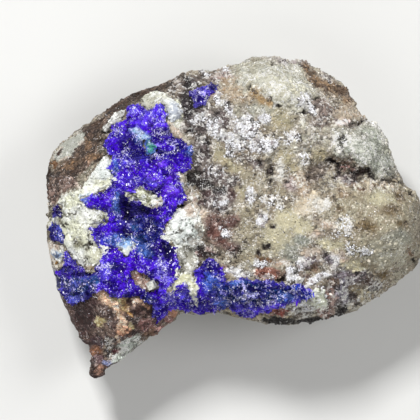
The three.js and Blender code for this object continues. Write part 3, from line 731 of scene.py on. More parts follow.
def makeStone():
    piece = fineCopy(["host_rock"], "stone", stoneLook["voxel"])
    shape = bmesh.new()
    shape.from_mesh(piece.data)
    lowest = middle.z * stoneLook["hidden"]
    tilt = stoneLook["faceTilt"]
    face = [f for f in shape.faces if f.normal.z > tilt and f.calc_center_median().z > lowest]
    edges = list({edge for f in face for edge in f.edges})
    bmesh.ops.subdivide_edges(shape, edges=edges, cuts=1, use_grid_fill=True)
    shape.to_mesh(piece.data)
    shape.free()
    mesh = piece.data
    seed = stoneLook["seed"]
    paint(mesh, stoneBase, stoneZones, seed)
    points, normals = pointsOf(mesh), normalsOf(mesh)
    places = inSteps(points)
    covered = underCrusts(mesh)
    height = sum(tall * wave(places, size, lump) for size, tall, lump in stoneLook["lumps"])
    height *= fieldOf(mesh, "rough")
    spots = {look["name"]: look["spots"] for look in stoneZones}
    worn = ragged(places, seed, zoneLook["reach"], zoneLook["walls"])
    for name, depth in stoneLook["sunk"].items():
        height -= depth * ramp(nearSpots(worn, spots[name]), 0.3, 0.7)
    clumps = stoneLook["clumps"]
    sugar = fieldOf(mesh, "sugar") * ramp(wave(places, clumps["size"], seed + 4, 3), -0.18, 0.14)
    height += clumps["height"] * sugar
    height -= (height + stoneLook["pressed"]) * covered
    held = ramp(places[:, 2], 0.05, stoneLook["footKept"])  # 0 on the broken back that it lies on
    points += normals * (height * held * step)[:, None]
    for x, y, right, up, wide in stoneLook["nudged"]:
        near = ramp(nearSpots(places, [(x, y, wide, wide)]), 0.1, 0.9)[:, None]
        points[:, :2] += near * np.array([right, up]) * step
    points[:, 2] = np.maximum(points[:, 2], stoneLow.z)
    setPoints(mesh, points)
    upward = ramp(normals[:, 2], 0.0, 0.4) * (1 - covered)
    bare = upward * (1 - 0.8 * sugar)
    store(mesh, "clump", sugar * upward)
    store(mesh, "bare", bare)
    store(mesh, "coarse", bare * fieldOf(mesh, "crumb"))
    store(mesh, "glint", upward * fieldOf(mesh, "light") * fieldOf(mesh, "shine"))
    print("stone:", triangles(mesh), "triangles")
    return piece


def underCrusts(mesh):
    # 1 where a crust covers the stone
    trees = []
    for name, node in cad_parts.items():
        if name != "host_rock":
            trees.append(BVHTree.FromObject(node, depsgraph()))
    up, start = Vector((0, 0, 1)), Vector((0, 0, -step))
    covered = np.zeros(len(mesh.vertices))
    for i, vertex in enumerate(mesh.vertices):
        if vertex.co.z > middle.z * stoneLook["hidden"]:
            covered[i] = any(tree.ray_cast(vertex.co + start, up)[0] for tree in trees)
    return covered


speckLook = {
    "edge": (0.585, 0.63),  # levels of noise between which a speck comes in
    "gain": 0.21,  # how far a share of 1 lowers them
    "cover": 0.9,  # how much of the ground a speck hides
    "thread": 0.022,  # width of the light threads
    "shaded": (0.55, 0.54, 0.53, 1),  # tint of the soft dark patches
    "paler": (2.6, 2.35, 2.2, 1),  # tint of a lit speck where nothing shines
}


def gleam(finish, ground, light):
    # the colour of a lit speck: the light colour where a place shines, elsewhere a paler tone of its ground
    paler = finish.mix(1.0, ground, speckLook["paler"], "MULTIPLY")
    return finish.mix(finish.attribute("shine"), paler, light)


def specked(finish, ground, dark, light, seed, size, thread=0.9):
    # the ground colour under specks of a dark and a light colour, as many as the shares stored on the piece
    def specks(share, other):
        level = finish.speckle(size, 5, seed + other, 0.75, 0.6) + share * speckLook["gain"]
        return level.rise(*speckLook["edge"])

    darks, lights = finish.attribute("dark"), finish.attribute("light")
    soft = finish.speckle(size * 1.3, 5, seed + 2, 0.8).rise(0.6, 0.4) * (darks * 1.3 + 0.2)
    shade = finish.mix(soft, ground, finish.mix(1.0, ground, speckLook["shaded"], "MULTIPLY"))
    shade = finish.mix(specks(darks, 0) * speckLook["cover"], shade, dark)
    lines = finish.speckle(size * 0.7, 2, seed + 3, 0.6, 1.0).near(0.5, speckLook["thread"])
    lit = specks(lights, 1).math("MAXIMUM", lines * lights * thread)
    return finish.mix(lit * speckLook["cover"], shade, gleam(finish, ground, light))


def stoneFinish():
    finish = Finish("stoneFinish", {"Roughness": 0.7, "Specular IOR Level": 0.4})
    ground = finish.attribute("ground", "Color")
    shade = specked(finish, ground, tone(26, 19, 19), tone(238, 236, 231), seed=3, size=0.25, thread=0.7)
    finish.feed("Base Color", shade)
    finish.feed("Normal", finish.bump(finish.speckle(0.4, 5, 1, 0.8), 0.38))
    return finish


# crusts on the face

crustLook = {
    "voxel": 0.13,  # mesh size
    "smoothing": 0.5,
    "drop": 0.6,  # how far a crust sinks, which takes up its clearance and roots it in the stone
    "inlayDrop": 0.25,  # for those that lie in the blue crust
    "tuftDrop": 0.3,
    "worked": (-0.2, 0.3),  # heights of the normal between which the rooted underside ends
    "hollows": (1.0, 0.22),  # size of the patches that are dark all over, and the width of their edges
    "rimTilt": (0.95, 0.6),  # heights of the normal between which the painted highlight on the rim begins
    "rimShare": 0.3,
}
blueLook = {
    "seed": 40,
    "warp": [(1.1, 0.28), (0.45, 0.2), (0.22, 0.1)],  # size and reach of what makes the outlines ragged
    "lumps": [(1.2, 0.4, 11), (0.5, 0.24, 12), (0.26, 0.12, 13)],
    "base": {
        "colour": (92, 28, 236), "second": (58, 14, 196), "dark": 0.22, "light": 0.21,
        "bristle": 1.0,  # crystals that stand on it
        "shine": 0.9,
        "patchy": 0.8,  # how strong the painted shade in the hollows and the dark patches are
    },
    # painted shade: the tone that the hollows and the dark patches darken towards
    "hollow": (18, 4, 96),
    "rim": (128, 122, 246),  # tone of the painted highlight on the thin edges
    "deep": (0.08, 0.4),  # depths between which the painted shade in the hollows comes in
}
blueZones = [
    zone("upper tips", (104, 66, 240), (84, 40, 226), 0.14, 0.34, [
        (-9.9, 10.3, 1.0, 0.6), (-7.8, 10.0, 0.7, 1.0), (-8.9, 9.3, 1.4, 0.5),
    ], patchy=0.3),
    zone("upper dark", (74, 46, 194), (48, 28, 154), 0.33, 0.32, [
        (-11.0, 7.6, 1.4, 0.8), (-11.8, 8.6, 0.7, 0.5), (-6.6, 8.0, 0.8, 0.9),
    ], patchy=0.6),
    zone("speckled band", (42, 30, 168), (24, 12, 112), 0.35, 0.34, [
        (-9.0, 6.1, 3.0, 0.7), (-5.6, 6.6, 0.8, 0.8), (-10.6, 6.6, 1.4, 0.4),
    ], patchy=0.6),
    zone("bright violet", (82, 22, 228), (62, 14, 200), 0.2, 0.16, [
        (-11.3, 3.9, 0.7, 0.8), (-12.0, 6.9, 0.7, 0.7), (-9.2, 4.3, 2.2, 0.7, 5), (-6.5, 3.0, 0.9, 1.4),
        (-13.7, 1.5, 1.2, 0.45, 8), (-13.4, -1.6, 1.1, 0.55), (-12.1, -0.8, 0.7, 0.7),
        (-12.2, -4.0, 0.9, 0.7), (-9.6, -4.5, 1.4, 0.7), (-10.9, -6.7, 0.9, 0.9), (-7.6, -7.4, 0.6, 1.2),
        (-5.2, -7.9, 0.9, 0.8), (-5.4, 5.0, 0.9, 1.0), (-5.6, 1.8, 0.6, 0.7),
    ], patchy=0.4, bristle=0.6),
    zone("lit violet", (124, 70, 246), (92, 36, 228), 0.1, 0.28, [
        (-6.4, 2.8, 0.9, 1.4), (-8.4, 3.7, 0.8, 0.5), (-13.0, 1.9, 0.7, 0.25), (-7.4, 5.2, 0.6, 0.4),
    ], patchy=0.2),
    zone("lilac", (104, 88, 230), (76, 52, 204), 0.2, 0.42, [
        (-13.1, -5.4, 0.7, 0.9), (-7.3, -5.2, 0.6, 1.2, 15), (-16.6, -4.3, 0.45, 1.0, -20),
        (-9.0, 3.4, 1.8, 0.4, -8), (-6.4, -8.2, 0.8, 0.5), (1.5, -9.2, 1.6, 0.4, 5),
        (-10.9, 5.3, 0.8, 0.4),
    ], patchy=0.3),
    zone("dusky", (46, 62, 154), (20, 26, 98), 0.4, 0.2, [
        (-9.0, -0.9, 1.7, 0.9), (-8.8, -3.2, 0.8, 1.0), (-12.2, -5.0, 0.6, 0.4),
        (-15.9, -7.6, 1.4, 0.6, -10), (-8.8, -8.2, 0.8, 0.4, -30), (-7.8, -2.0, 0.9, 0.8),
    ], patchy=0.6),
    zone("band", (30, 68, 134), (10, 25, 72), 0.5, 0.44, [
        (1.6, -8.0, 3.4, 0.8), (4.2, -7.6, 1.5, 0.8), (-0.9, -7.7, 1.2, 1.0), (1.4, -7.0, 2.0, 0.6),
        (4.9, -7.0, 1.6, 0.45, -15), (0.6, -6.7, 1.3, 0.5),
    ], patchy=0.6),
    zone("violet foot", (58, 26, 190), (40, 14, 150), 0.24, 0.14, [
        (-3.2, -5.4, 0.7, 1.0), (-3.3, -7.6, 0.6, 1.5), (-7.8, -9.4, 0.6, 0.9), (-12.3, -6.8, 0.7, 0.6),
        (4.4, -6.75, 0.8, 0.18, -10), (-3.4, -8.9, 1.6, 0.5),
    ], patchy=0.5),
    zone("dark of the left foot", (42, 22, 138), (24, 10, 92), 0.3, 0.14, [
        (-16.9, -5.35, 1.2, 0.5, -10), (-16.9, -7.7, 0.9, 0.6),
    ], patchy=0.6),
    zone("left foot", (54, 76, 126), (22, 28, 74), 0.42, 0.36, [
        (-16.2, -6.6, 1.8, 0.55), (-15.4, -7.6, 1.3, 0.6, 10),
    ], patchy=0.6),
    zone("edge of the left foot", (88, 104, 208), (48, 50, 160), 0.3, 0.4, [
        (-16.2, -8.5, 0.9, 0.3, -8),
    ], patchy=0.4),
    # painted light: lighter than the violet foot, to lift the shade on the lower slope
    zone("band foot", (104, 70, 244), (72, 38, 206), 0.2, 0.4, [
        (1.0, -9.4, 1.0, 0.45, -5), (3.2, -9.1, 1.6, 0.28, 14),
    ], patchy=0.4),
    zone("triangle", (78, 54, 218), (58, 28, 192), 0.15, 0.22, [(-5.2, -8.0, 0.9, 0.9)], patchy=0.4),
    zone("teal", (88, 128, 208), (68, 98, 180), 0.2, 0.36, [
        (-15.0, -6.4, 1.3, 0.3), (-11.0, -2.4, 2.1, 0.65, 3), (-9.0, -3.2, 0.7, 0.9),
        (-11.9, 1.4, 0.35, 1.3), (-15.2, 1.6, 0.5, 0.3), (-2.4, -6.6, 0.9, 0.9), (-12.05, 4.9, 0.3, 0.9),
        (-4.6, 6.5, 0.4, 0.8), (5.0, -8.0, 1.0, 0.4), (0.3, -6.5, 0.9, 0.25), (-1.5, -8.6, 0.8, 0.35),
        (-9.2, 7.6, 1.0, 0.5, -25),
    ], patchy=0.25),
    zone("dark teal", (52, 90, 150), (22, 40, 92), 0.4, 0.3, [
        (-14.9, -6.9, 1.0, 0.4), (-15.2, -7.4, 0.9, 0.4), (-10.2, -0.6, 0.5, 0.5), (-9.6, -2.0, 0.8, 0.4),
    ], patchy=0.5),
    zone("lit part of the left foot", (72, 120, 184), (44, 74, 140), 0.25, 0.4, [
        (-14.3, -6.5, 0.9, 0.45),
    ], patchy=0.4, soft=0.3),
    zone("lit part of the band", (78, 106, 206), (48, 62, 160), 0.25, 0.4, [
        (-2.4, -6.7, 0.8, 0.7),
    ], patchy=0.4, soft=0.3),
    zone("head of the band", (44, 26, 158), (28, 14, 112), 0.3, 0.12, [
        (-2.8, -4.8, 1.1, 0.6), (-2.0, -5.4, 0.5, 0.6),
    ], patchy=0.6),
    zone("navy", (18, 8, 84), (8, 4, 46), 0.5, 0.0, [
        (-10.7, 0.8, 1.1, 0.9, -30), (-11.2, 1.5, 0.45, 0.8), (-9.4, 0.7, 1.4, 0.55, -10),
        (-10.9, -0.2, 0.5, 0.5), (-6.7, -3.4, 0.6, 0.9, 20), (-14.9, -5.7, 1.2, 0.24, -5),
        (1.6, -7.05, 1.0, 0.22), (-11.4, -7.9, 1.2, 0.2), (-10.6, -1.6, 0.6, 0.25),
        (4.0, -6.4, 0.8, 0.2, -10), (-14.8, -7.7, 0.4, 0.25),
    ], patchy=0.3, soft=0.25, bristle=0.5, shine=0.2),
    zone("pale teal", (222, 244, 246), (156, 196, 228), 0.2, 0.6, [
        (-10.0, 8.4, 0.7, 0.3, -25), (-9.2, 7.9, 0.5, 0.3, -30), (-8.9, 7.4, 0.35, 0.3),
    ], patchy=0.0, soft=0.42),
    zone("pale blue", (134, 172, 246), (86, 116, 216), 0.2, 0.5, [
        (-10.9, -2.5, 1.3, 0.45), (0.2, -6.4, 0.5, 0.16),
    ], patchy=0.1, soft=0.42),
    zone("left patch", (62, 84, 186), (40, 46, 146), 0.25, 0.34, [(-17.9, -1.5, 1.4, 1.3)], patchy=0.5),
    zone("dark of the left patch", (24, 14, 104), (14, 6, 66), 0.4, 0.1, [
        (-18.4, -2.1, 0.6, 0.5), (-17.7, -2.3, 0.7, 0.22, -15), (-18.0, -1.2, 0.25, 0.5, 20),
    ], patchy=0.4, soft=0.2),
    zone("bead", (30, 18, 62), (16, 10, 38), 0.5, 0.12, [(-17.9, 0.5, 0.7, 0.8)], patchy=0.6),
    zone("top patch", (88, 70, 204), (52, 34, 150), 0.36, 0.4, [(-4.0, 12.0, 1.4, 1.4)], patchy=0.6),
    zone("top arm", (64, 60, 150), (56, 50, 110), 0.35, 0.3, [
        (-2.1, 12.9, 0.8, 0.6),
    ], patchy=0.6, soft=0.2),
    zone("right tip", (28, 80, 206), (22, 42, 156), 0.2, 0.24, [
        (6.8, -7.8, 1.0, 0.6, -10), (6.1, -7.0, 0.5, 0.3),
    ], patchy=0.4, soft=0.2),
]
paleLook = {
    "seed": 60,
    "warp": [(1.1, 0.24), (0.45, 0.12), (0.22, 0.05)],
    "lumps": [(2.0, 0.28, 21), (0.8, 0.06, 22)],
    "folds": {"turn": -25, "size": 1.5, "stretch": 1.8, "height": 0.16},  # creases between flat swells
    "brushed": {"turn": 38, "size": 0.2, "stretch": 4.0, "height": 0.09},  # fine ridges, all one way
    "fissure": {"size": 1.1, "width": 0.05, "depth": 0.35},
    "base": {
        "colour": (250, 251, 244), "second": (238, 240, 228), "dark": 0.07, "light": 0.3,
        "bristle": 1.0, "shine": 0.9, "patchy": 0.12,
    },
    # painted shade: the tone that the hollows and the dark patches darken towards, and the depths between which
    # it comes in
    "hollow": (112, 108, 88),
    "deep": (0.22, 0.6),
}
paleZones = [
    zone("white", (234, 240, 236), (218, 225, 220), 0.08, 0.4, [
        (-13.0, 4.6, 1.0, 1.2, 40), (-5.0, -1.4, 1.4, 1.8), (-6.1, 10.4, 0.8, 1.1), (-12.2, 5.5, 0.7, 0.5),
    ]),
    zone("bluish white", (212, 218, 228), (188, 194, 206), 0.14, 0.35, [(-6.1, 10.4, 0.9, 1.2)]),
    zone("yellowish", (246, 247, 224), (232, 233, 208), 0.06, 0.15, [
        (-16.0, 1.7, 1.6, 0.8, 20), (-13.2, 3.3, 1.0, 0.5, 20), (-16.4, -1.4, 1.2, 1.2),
        (-15.2, -2.4, 0.8, 0.8),
    ]),
    zone("shaded", (152, 150, 128), (120, 114, 96), 0.3, 0.15, [
        (-16.4, 0.25, 0.9, 0.12, -8), (-17.6, -0.3, 0.5, 0.3), (-14.3, -2.8, 0.5, 0.16),
        (-13.2, -0.3, 0.4, 0.4), (-10.2, 2.0, 0.6, 0.3), (-4.9, -3.0, 0.7, 0.2),
        (-14.6, -4.4, 0.6, 0.2, -30), (-14.3, -3.85, 0.8, 0.16, -38), (-15.8, -2.7, 0.5, 0.5),
        (-14.2, 0.7, 0.5, 0.16, -10),
    ]),
    zone("bridge", (212, 214, 194), (180, 180, 158), 0.3, 0.2, [(-13.2, 0.1, 0.9, 0.6)]),
    zone("blue tinge", (190, 214, 234), (206, 222, 232), 0.05, 0.3, [
        (-15.0, 2.15, 0.6, 0.25, 5), (-16.2, -4.6, 0.2, 0.6, 15),
    ], soft=0.3),
    zone("tongue", (232, 233, 212), (214, 213, 190), 0.1, 0.25, [(-13.9, -3.9, 0.9, 1.2)]),
    zone("stem", (208, 206, 194), (176, 173, 160), 0.16, 0.2, [(-4.9, -4.3, 1.3, 1.3, 10)], patchy=0.0),
    zone("top of the stem", (176, 176, 166), (142, 140, 130), 0.25, 0.2, [
        (-5.2, -3.4, 0.8, 0.45),
    ], patchy=0.0),
    zone("fork", (236, 236, 202), (216, 214, 178), 0.08, 0.25, [
        (-5.4, -6.2, 1.2, 0.7), (-4.1, -7.4, 0.4, 1.4), (-6.4, -6.9, 0.6, 0.6),
    ], patchy=0.0, soft=0.2),
    # painted light: whiter than the rest of the fork, to lift the shade where the legs run down the slope
    zone("fork leg", (255, 255, 240), (255, 254, 232), 0.0, 0.3, [
        (-4.05, -8.1, 0.4, 1.0), (-6.5, -7.0, 0.5, 0.3, 30),
    ], patchy=0.0, soft=0.2),
    zone("fork tip", (222, 196, 176), (196, 170, 150), 0.1, 0.3, [
        (-6.8, -7.5, 0.4, 0.4),
    ], patchy=0.0, soft=0.2),
    zone("knot", (244, 247, 230), (226, 229, 206), 0.12, 0.35, [(8.3, -8.1, 1.2, 1.4)]),
    zone("core", (246, 248, 240), (228, 232, 220), 0.05, 0.3, [
        (-10.9, -3.2, 1.2, 1.0),
    ], patchy=0.0, soft=0.2),
    zone("core top", (152, 190, 238), (112, 150, 220), 0.12, 0.35, [
        (-11.0, -2.5, 1.3, 0.5),
    ], patchy=0.0, soft=0.3),
    zone("chip", (240, 234, 218), (214, 202, 184), 0.1, 0.3, [
        (-5.5, 3.9, 0.7, 0.5),
    ], patchy=0.0, soft=0.2),
    zone("foot of the chip", (196, 204, 220), (160, 168, 192), 0.15, 0.35, [
        (-5.1, 3.2, 0.5, 0.35, -20),
    ], patchy=0.0, soft=0.2),
    zone("cuff", (208, 190, 178), (160, 138, 128), 0.42, 0.4, [
        (-4.5, 2.1, 1.0, 0.9),
    ], patchy=0.0, soft=0.2),
    zone("strip", (214, 216, 214), (188, 186, 182), 0.22, 0.4, [(-12.0, 9.5, 1.8, 0.9, 45)]),
    zone("end of the strip", (132, 118, 106), (92, 78, 68), 0.4, 0.25, [
        (-13.4, 8.6, 0.5, 0.6),
    ], soft=0.2),
    zone("pits", (50, 44, 34), (44, 38, 30), 0.1, 0.0, [
        (-17.3, -0.72, 0.4, 0.2, -10), (-14.4, -2.85, 0.75, 0.34, 15), (-14.9, -2.9, 0.4, 0.2),
        (-14.6, -3.4, 0.2, 0.12, -20), (-14.95, -4.6, 0.12, 0.35), (-16.3, 0.25, 0.6, 0.07, -5),
        (-12.85, -0.6, 0.22, 0.3), (-13.35, -0.4, 0.16, 0.3), (-5.4, -1.2, 0.45, 0.12, -20),
        (-4.6, -2.2, 0.16, 0.3), (-4.2, -0.8, 0.2, 0.35, 20), (-6.0, -1.5, 0.4, 0.12, -20),
        (-4.4, -1.5, 0.16, 0.3), (-5.3, -5.0, 0.1, 0.6, 15), (-14.75, -5.0, 0.5, 0.12, -45),
        (-12.6, 8.6, 0.2, 0.3),
    ], soft=0.16),
    zone("right of the knob", (206, 200, 190), (150, 142, 132), 0.42, 0.4, [
        (-3.6, -1.4, 0.35, 0.8), (-3.7, -2.6, 0.8, 0.35, -20),
    ], patchy=0.0, soft=0.2),
    # painted shadow: a dark line under the pale knob
    zone("under the knob", (56, 52, 44), (40, 38, 34), 0.3, 0.05, [
        (-6.6, -2.6, 0.5, 0.14, -12),
    ], patchy=0.0, soft=0.16),
    zone("tan", (200, 176, 140), (178, 148, 110), 0.15, 0.2, [
        (-18.0, -4.7, 0.4, 0.3), (-8.0, 1.3, 0.5, 0.5), (-14.2, -5.2, 0.7, 0.25, -25),
    ]),
    zone("rosy", (220, 204, 188), (208, 188, 170), 0.08, 0.25, [
        (-18.2, -2.8, 0.7, 0.4), (-7.6, 1.9, 0.4, 0.5), (-4.4, 0.6, 0.9, 0.6, 30),
    ]),
    zone("stained", (86, 120, 174), (112, 140, 186), 0.15, 0.2, [(-17.9, -3.75, 0.5, 0.4)]),
    zone("ochre", (178, 132, 68), (160, 116, 58), 0.15, 0.1, [(-18.0, -4.75, 0.3, 0.25)]),
    zone("greyish top", (214, 213, 196), (198, 196, 178), 0.14, 0.3, [(-8.0, 11.4, 1.3, 0.9)]),
    zone("island", (232, 234, 208), (196, 196, 166), 0.25, 0.4, [
        (-9.3, 2.0, 1.9, 0.9, -15),
    ], patchy=0.06),
    zone("island edge", (236, 222, 216), (204, 186, 178), 0.2, 0.35, [
        (-7.6, 1.3, 0.35, 0.5), (-8.4, 1.0, 0.4, 0.2),
    ], soft=0.16),
]
greenZones = [
    zone("green", (66, 156, 128), (44, 112, 96), 0.2, 0.2, [(-8.5, 6.9, 0.6, 0.6)]),
    zone("pale green", (168, 220, 196), (110, 188, 160), 0.1, 0.3, [(-8.8, 7.3, 0.35, 0.3)]),
]

thinLook = {
    "seed": 80,
    "warp": [(0.45, 0.08)], "lumps": [(0.8, 0.07, 22)],
    "ragged": 0.12,  # how far its outline strays
    "shoulder": (-0.1, 0.35),  # depths inside the outline between which it rises
    "skirt": 0.3,  # how far it reaches past its outline, sinking in its ground
    "sunk": 0.25,  # how deep the edge of the skirt lies
    "wall": 0.4,  # thickness, most of it in the ground
}
thinCrusts = [
    # thin crusts over the blue one and beside it: their thickness and outline
    {"name": "thinFork", "thick": 0.3, "outline": [
        (-6.2, -5.6), (-6.0, -5.15), (-5.4, -5.2), (-5.2, -5.7), (-4.4, -5.95), (-3.85, -5.95),
        (-3.85, -7.2), (-3.85, -9.0), (-4.1, -9.0), (-4.4, -7.9), (-4.85, -6.85), (-5.1, -6.55),
        (-5.5, -6.85), (-6.15, -7.3), (-6.6, -7.95), (-7.05, -7.4), (-6.9, -6.95), (-6.2, -6.7),
    ]},
    {"name": "thinStem", "thick": 0.25, "outline": [
        (-6.2, -2.6), (-5.95, -3.6), (-5.55, -4.6), (-5.45, -5.7), (-4.8, -5.9), (-4.1, -5.4),
        (-3.7, -4.7), (-3.9, -4.1), (-4.4, -3.5), (-4.5, -2.8), (-5.2, -2.4),
    ]},
    {"name": "thinKnot", "thick": 0.4, "outline": [
        (7.6, -7.35), (8.1, -7.15), (8.7, -7.4), (8.75, -8.0), (9.1, -8.6), (9.2, -9.1), (8.4, -9.25),
        (7.8, -8.8), (7.45, -8.3), (7.4, -7.7),
    ]},
    {"name": "thinIsland", "thick": 0.3, "outline": [
        (-11.4, 2.6), (-10.6, 2.55), (-9.5, 3.05), (-8.9, 2.85), (-8.3, 2.3), (-7.7, 2.2), (-7.3, 1.8),
        (-7.35, 1.2), (-8.0, 0.95), (-8.7, 0.95), (-9.1, 1.25), (-9.8, 1.6), (-10.6, 1.5), (-10.9, 2.1),
    ]},
    {"name": "thinKnob", "thick": 0.2, "outline": [
        (-7.45, -2.05), (-6.9, -1.2), (-6.7, -0.6), (-6.2, 0.1), (-5.5, 0.8), (-5.0, 1.0), (-4.2, 1.0),
        (-3.8, 0.4), (-3.7, -0.4), (-3.4, -1.2), (-3.3, -1.9), (-3.6, -2.2), (-3.0, -2.7), (-3.6, -2.9),
        (-4.3, -2.7), (-5.0, -3.1), (-5.8, -3.0), (-6.3, -2.6), (-7.0, -2.35),
    ]},
    {"name": "thinCore", "thick": 0.2, "outline": [
        (-12.0, -2.5), (-11.3, -2.2), (-10.4, -2.3), (-10.0, -2.7), (-10.2, -3.3), (-10.6, -3.9),
        (-11.1, -3.9), (-11.4, -3.4), (-11.9, -3.0),
    ]},
    {"name": "thinChip", "thick": 0.3, "outline": [
        (-5.95, 4.3), (-5.5, 4.4), (-5.1, 4.0), (-4.8, 3.3), (-4.9, 2.9), (-5.4, 3.1), (-5.6, 3.6),
    ]},
    {"name": "thinCuff", "thick": 0.2, "outline": [
        (-5.4, 1.9), (-5.1, 1.6), (-4.4, 1.2), (-3.9, 1.3), (-3.9, 2.3), (-4.3, 2.9), (-4.8, 2.8),
        (-4.7, 2.3), (-5.0, 2.15),
    ]},
    {"name": "thinTongue", "thick": 0.3, "outline": [
        (-14.6, -3.2), (-13.6, -2.9), (-12.7, -3.05), (-12.95, -3.6), (-13.5, -4.3), (-13.8, -5.3),
        (-14.8, -5.1), (-15.0, -4.0),
    ]},
    {"name": "thinBridge", "thick": 0.25, "outline": [
        (-13.9, 0.6), (-12.9, 0.5), (-12.6, 0.1), (-12.7, -0.7), (-13.1, -0.95), (-13.9, -0.8),
    ]},
    {"name": "thinEdge", "thick": 0.25, "outline": [
        (-18.35, -0.05), (-17.7, -0.15), (-17.1, -0.2), (-16.8, -1.2), (-16.7, -2.4), (-17.1, -2.2),
        (-17.6, -1.1), (-18.2, -0.5),
    ]},
    {"name": "thinBrow", "thick": 0.25, "outline": [
        (-17.8, 1.4), (-17.3, 2.15), (-16.4, 2.55), (-15.3, 2.7), (-14.8, 3.4), (-14.0, 4.6),
        (-13.0, 5.4), (-12.3, 5.6), (-12.4, 4.4), (-12.0, 3.7), (-12.1, 3.1), (-13.0, 2.75), (-14.2, 2.4),
        (-15.2, 2.2), (-16.8, 1.2),
    ]},
]

blueNodes = ["linarite_field", "linarite_top_patch", "linarite_left_patch", "linarite_bead"]
paleNodes = [name for name in sorted(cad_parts) if name.startswith("pale_crust")]


def depthInside(places, outline):
    # how far places lie inside an outline, less than 0 outside it
    spots, corners = places[:, :2], np.array(outline, float)
    nearest, inside = np.full(len(spots), 99.0), np.zeros(len(spots), bool)
    for a, b in zip(corners, np.roll(corners, -1, 0)):
        along = np.clip(((spots - a) @ (b - a)) / ((b - a) @ (b - a)), 0, 1)
        nearest = np.minimum(nearest, np.linalg.norm(spots - a - along[:, None] * (b - a), axis=1))
        crossing = (a[1] > spots[:, 1]) != (b[1] > spots[:, 1])
        edge = a[0] + (spots[:, 1] - a[1]) * (b[0] - a[0]) / (b[1] - a[1] + 1e-9)
        inside ^= crossing & (spots[:, 0] < edge)
    return np.where(inside, nearest, -nearest)


def drapedCrust(look, grounds, seed):
    # a thin crust over the ground inside an outline, its edge sunk in the ground
    corners, pitch, skirt = np.array(look["outline"], float), crustLook["voxel"], thinLook["skirt"]
    low, high = corners.min(0) - 0.5, corners.max(0) + 0.5
    cells = np.ceil((high - low) / pitch) - 1
    x, y = low + cells * pitch / 2
    shape = bmesh.new()
    bmesh.ops.create_grid(shape, x_segments=int(cells[0]), y_segments=int(cells[1]), size=0.5)
    bmesh.ops.scale(shape, verts=shape.verts, vec=(*(cells * pitch * step), 1))
    above = Vector((middle.x + x * step, middle.y + y * step, stoneHigh.z + step))
    bmesh.ops.translate(shape, verts=shape.verts, vec=above)
    places = inSteps(np.array([vertex.co for vertex in shape.verts])) * (1, 1, 0)
    depth = depthInside(ragged(places, seed, thinLook["ragged"]), look["outline"])
    trees = [BVHTree.FromObject(ground, depsgraph()) for ground in grounds]
    spare = set()
    for vertex, inner in zip(shape.verts, depth):
        near = trees if inner > -skirt else []
        hits = [tree.ray_cast(vertex.co, Vector((0, 0, -1)))[0] for tree in near]
        heights = [hit.z for hit in hits if hit]
        if heights:
            rise = look["thick"] * ramp(inner, *thinLook["shoulder"])
            rise -= thinLook["sunk"] * ramp(-inner, 0.0, skirt)
            vertex.co.z = max(heights) + float(rise) * step
        else:
            spare.add(vertex)
    outside = [face for face in shape.faces if spare & set(face.verts)]
    bmesh.ops.delete(shape, geom=outside, context="FACES")
    piece = newPiece(look["name"], meshOf(shape, look["name"]))
    wall = piece.modifiers.new("wall", "SOLIDIFY")
    wall.thickness = thinLook["wall"] * step
    wall.offset = -1  # downwards
    settled(piece)
    return piece


def crustBody(piece, look, zones, seed, drop=0.0):
    # gives a crust its lumps, its colours and the shares of what is strewn on it
    mesh = piece.data
    smoothed(mesh, crustLook["smoothing"])
    points, normals = pointsOf(mesh), normalsOf(mesh)
    places = inSteps(points)
    points[:, 2] -= drop * step
    for axis in (0, 1):
        for size, reach in look["warp"]:
            points[:, axis] += reach * step * wave(places, size, seed + axis, 3)
    height = sum(tall * wave(places, size, lump) for size, tall, lump in look["lumps"])
    if "brushed" in look:
        height += folded(places, look["folds"], seed) + brushed(places, look["brushed"], seed)
        crack = fissures(places, look["fissure"], seed)
        height -= look["fissure"]["depth"] * crack
        store(mesh, "fissure", crack)
    upper = ramp(normals[:, 2], *crustLook["worked"])
    points += normals * (height * upper * step)[:, None]
    setPoints(mesh, points)
    paint(mesh, look["base"], zones, seed)
    # painted shade: where the crust lies low the ground darkens towards the hollow tone; in random patches it
    # darkens too
    size, edge = crustLook["hollows"]
    low = np.maximum(ramp(-height, *look["deep"]), ramp(wave(places, size, seed + 50, 4), 0.0, edge))
    shadeTowards(mesh, low * fieldOf(mesh, "patchy"), look["hollow"])
    # painted highlight: the sloping edges of the blue crust are lightened towards lilac, in patches
    if "rim" in look:
        rim = ramp(normals[:, 2], *crustLook["rimTilt"]) * ramp(wave(places, 0.7, seed + 60, 3), -0.1, 0.15)
        shadeTowards(mesh, rim * crustLook["rimShare"], look["rim"])
    if look is blueLook:
        for crust in thinCrusts:  # nothing grows through them
            upper = upper * (1 - ramp(depthInside(places, crust["outline"]), -0.1, 0.1))
    store(mesh, "growth", upper * fieldOf(mesh, "bristle"))
    lit = (2 * fieldOf(mesh, "light")) ** 2
    store(mesh, "glint", upper * lit * ramp(wave(places, 0.9, seed + 70, 3), -0.2, 0.2))
    return piece


def folded(places, look, seed):
    swells = np.abs(wave(turned(places, look["turn"], look["stretch"]), look["size"], seed + 6, 2))
    return look["height"] * (ramp(swells, 0, 0.3) - 0.5)


def brushed(places, look, seed):
    return look["height"] * wave(turned(places, look["turn"], look["stretch"]), look["size"], seed + 9, 2)


def fissures(places, look, seed):
    lines = np.abs(wave(places, look["size"], seed + 7, 3))
    gate = ramp(wave(places, 2.4, seed + 8), -0.05, 0.25)  # they come in patches
    return (1 - ramp(lines, 0, look["width"])) * gate


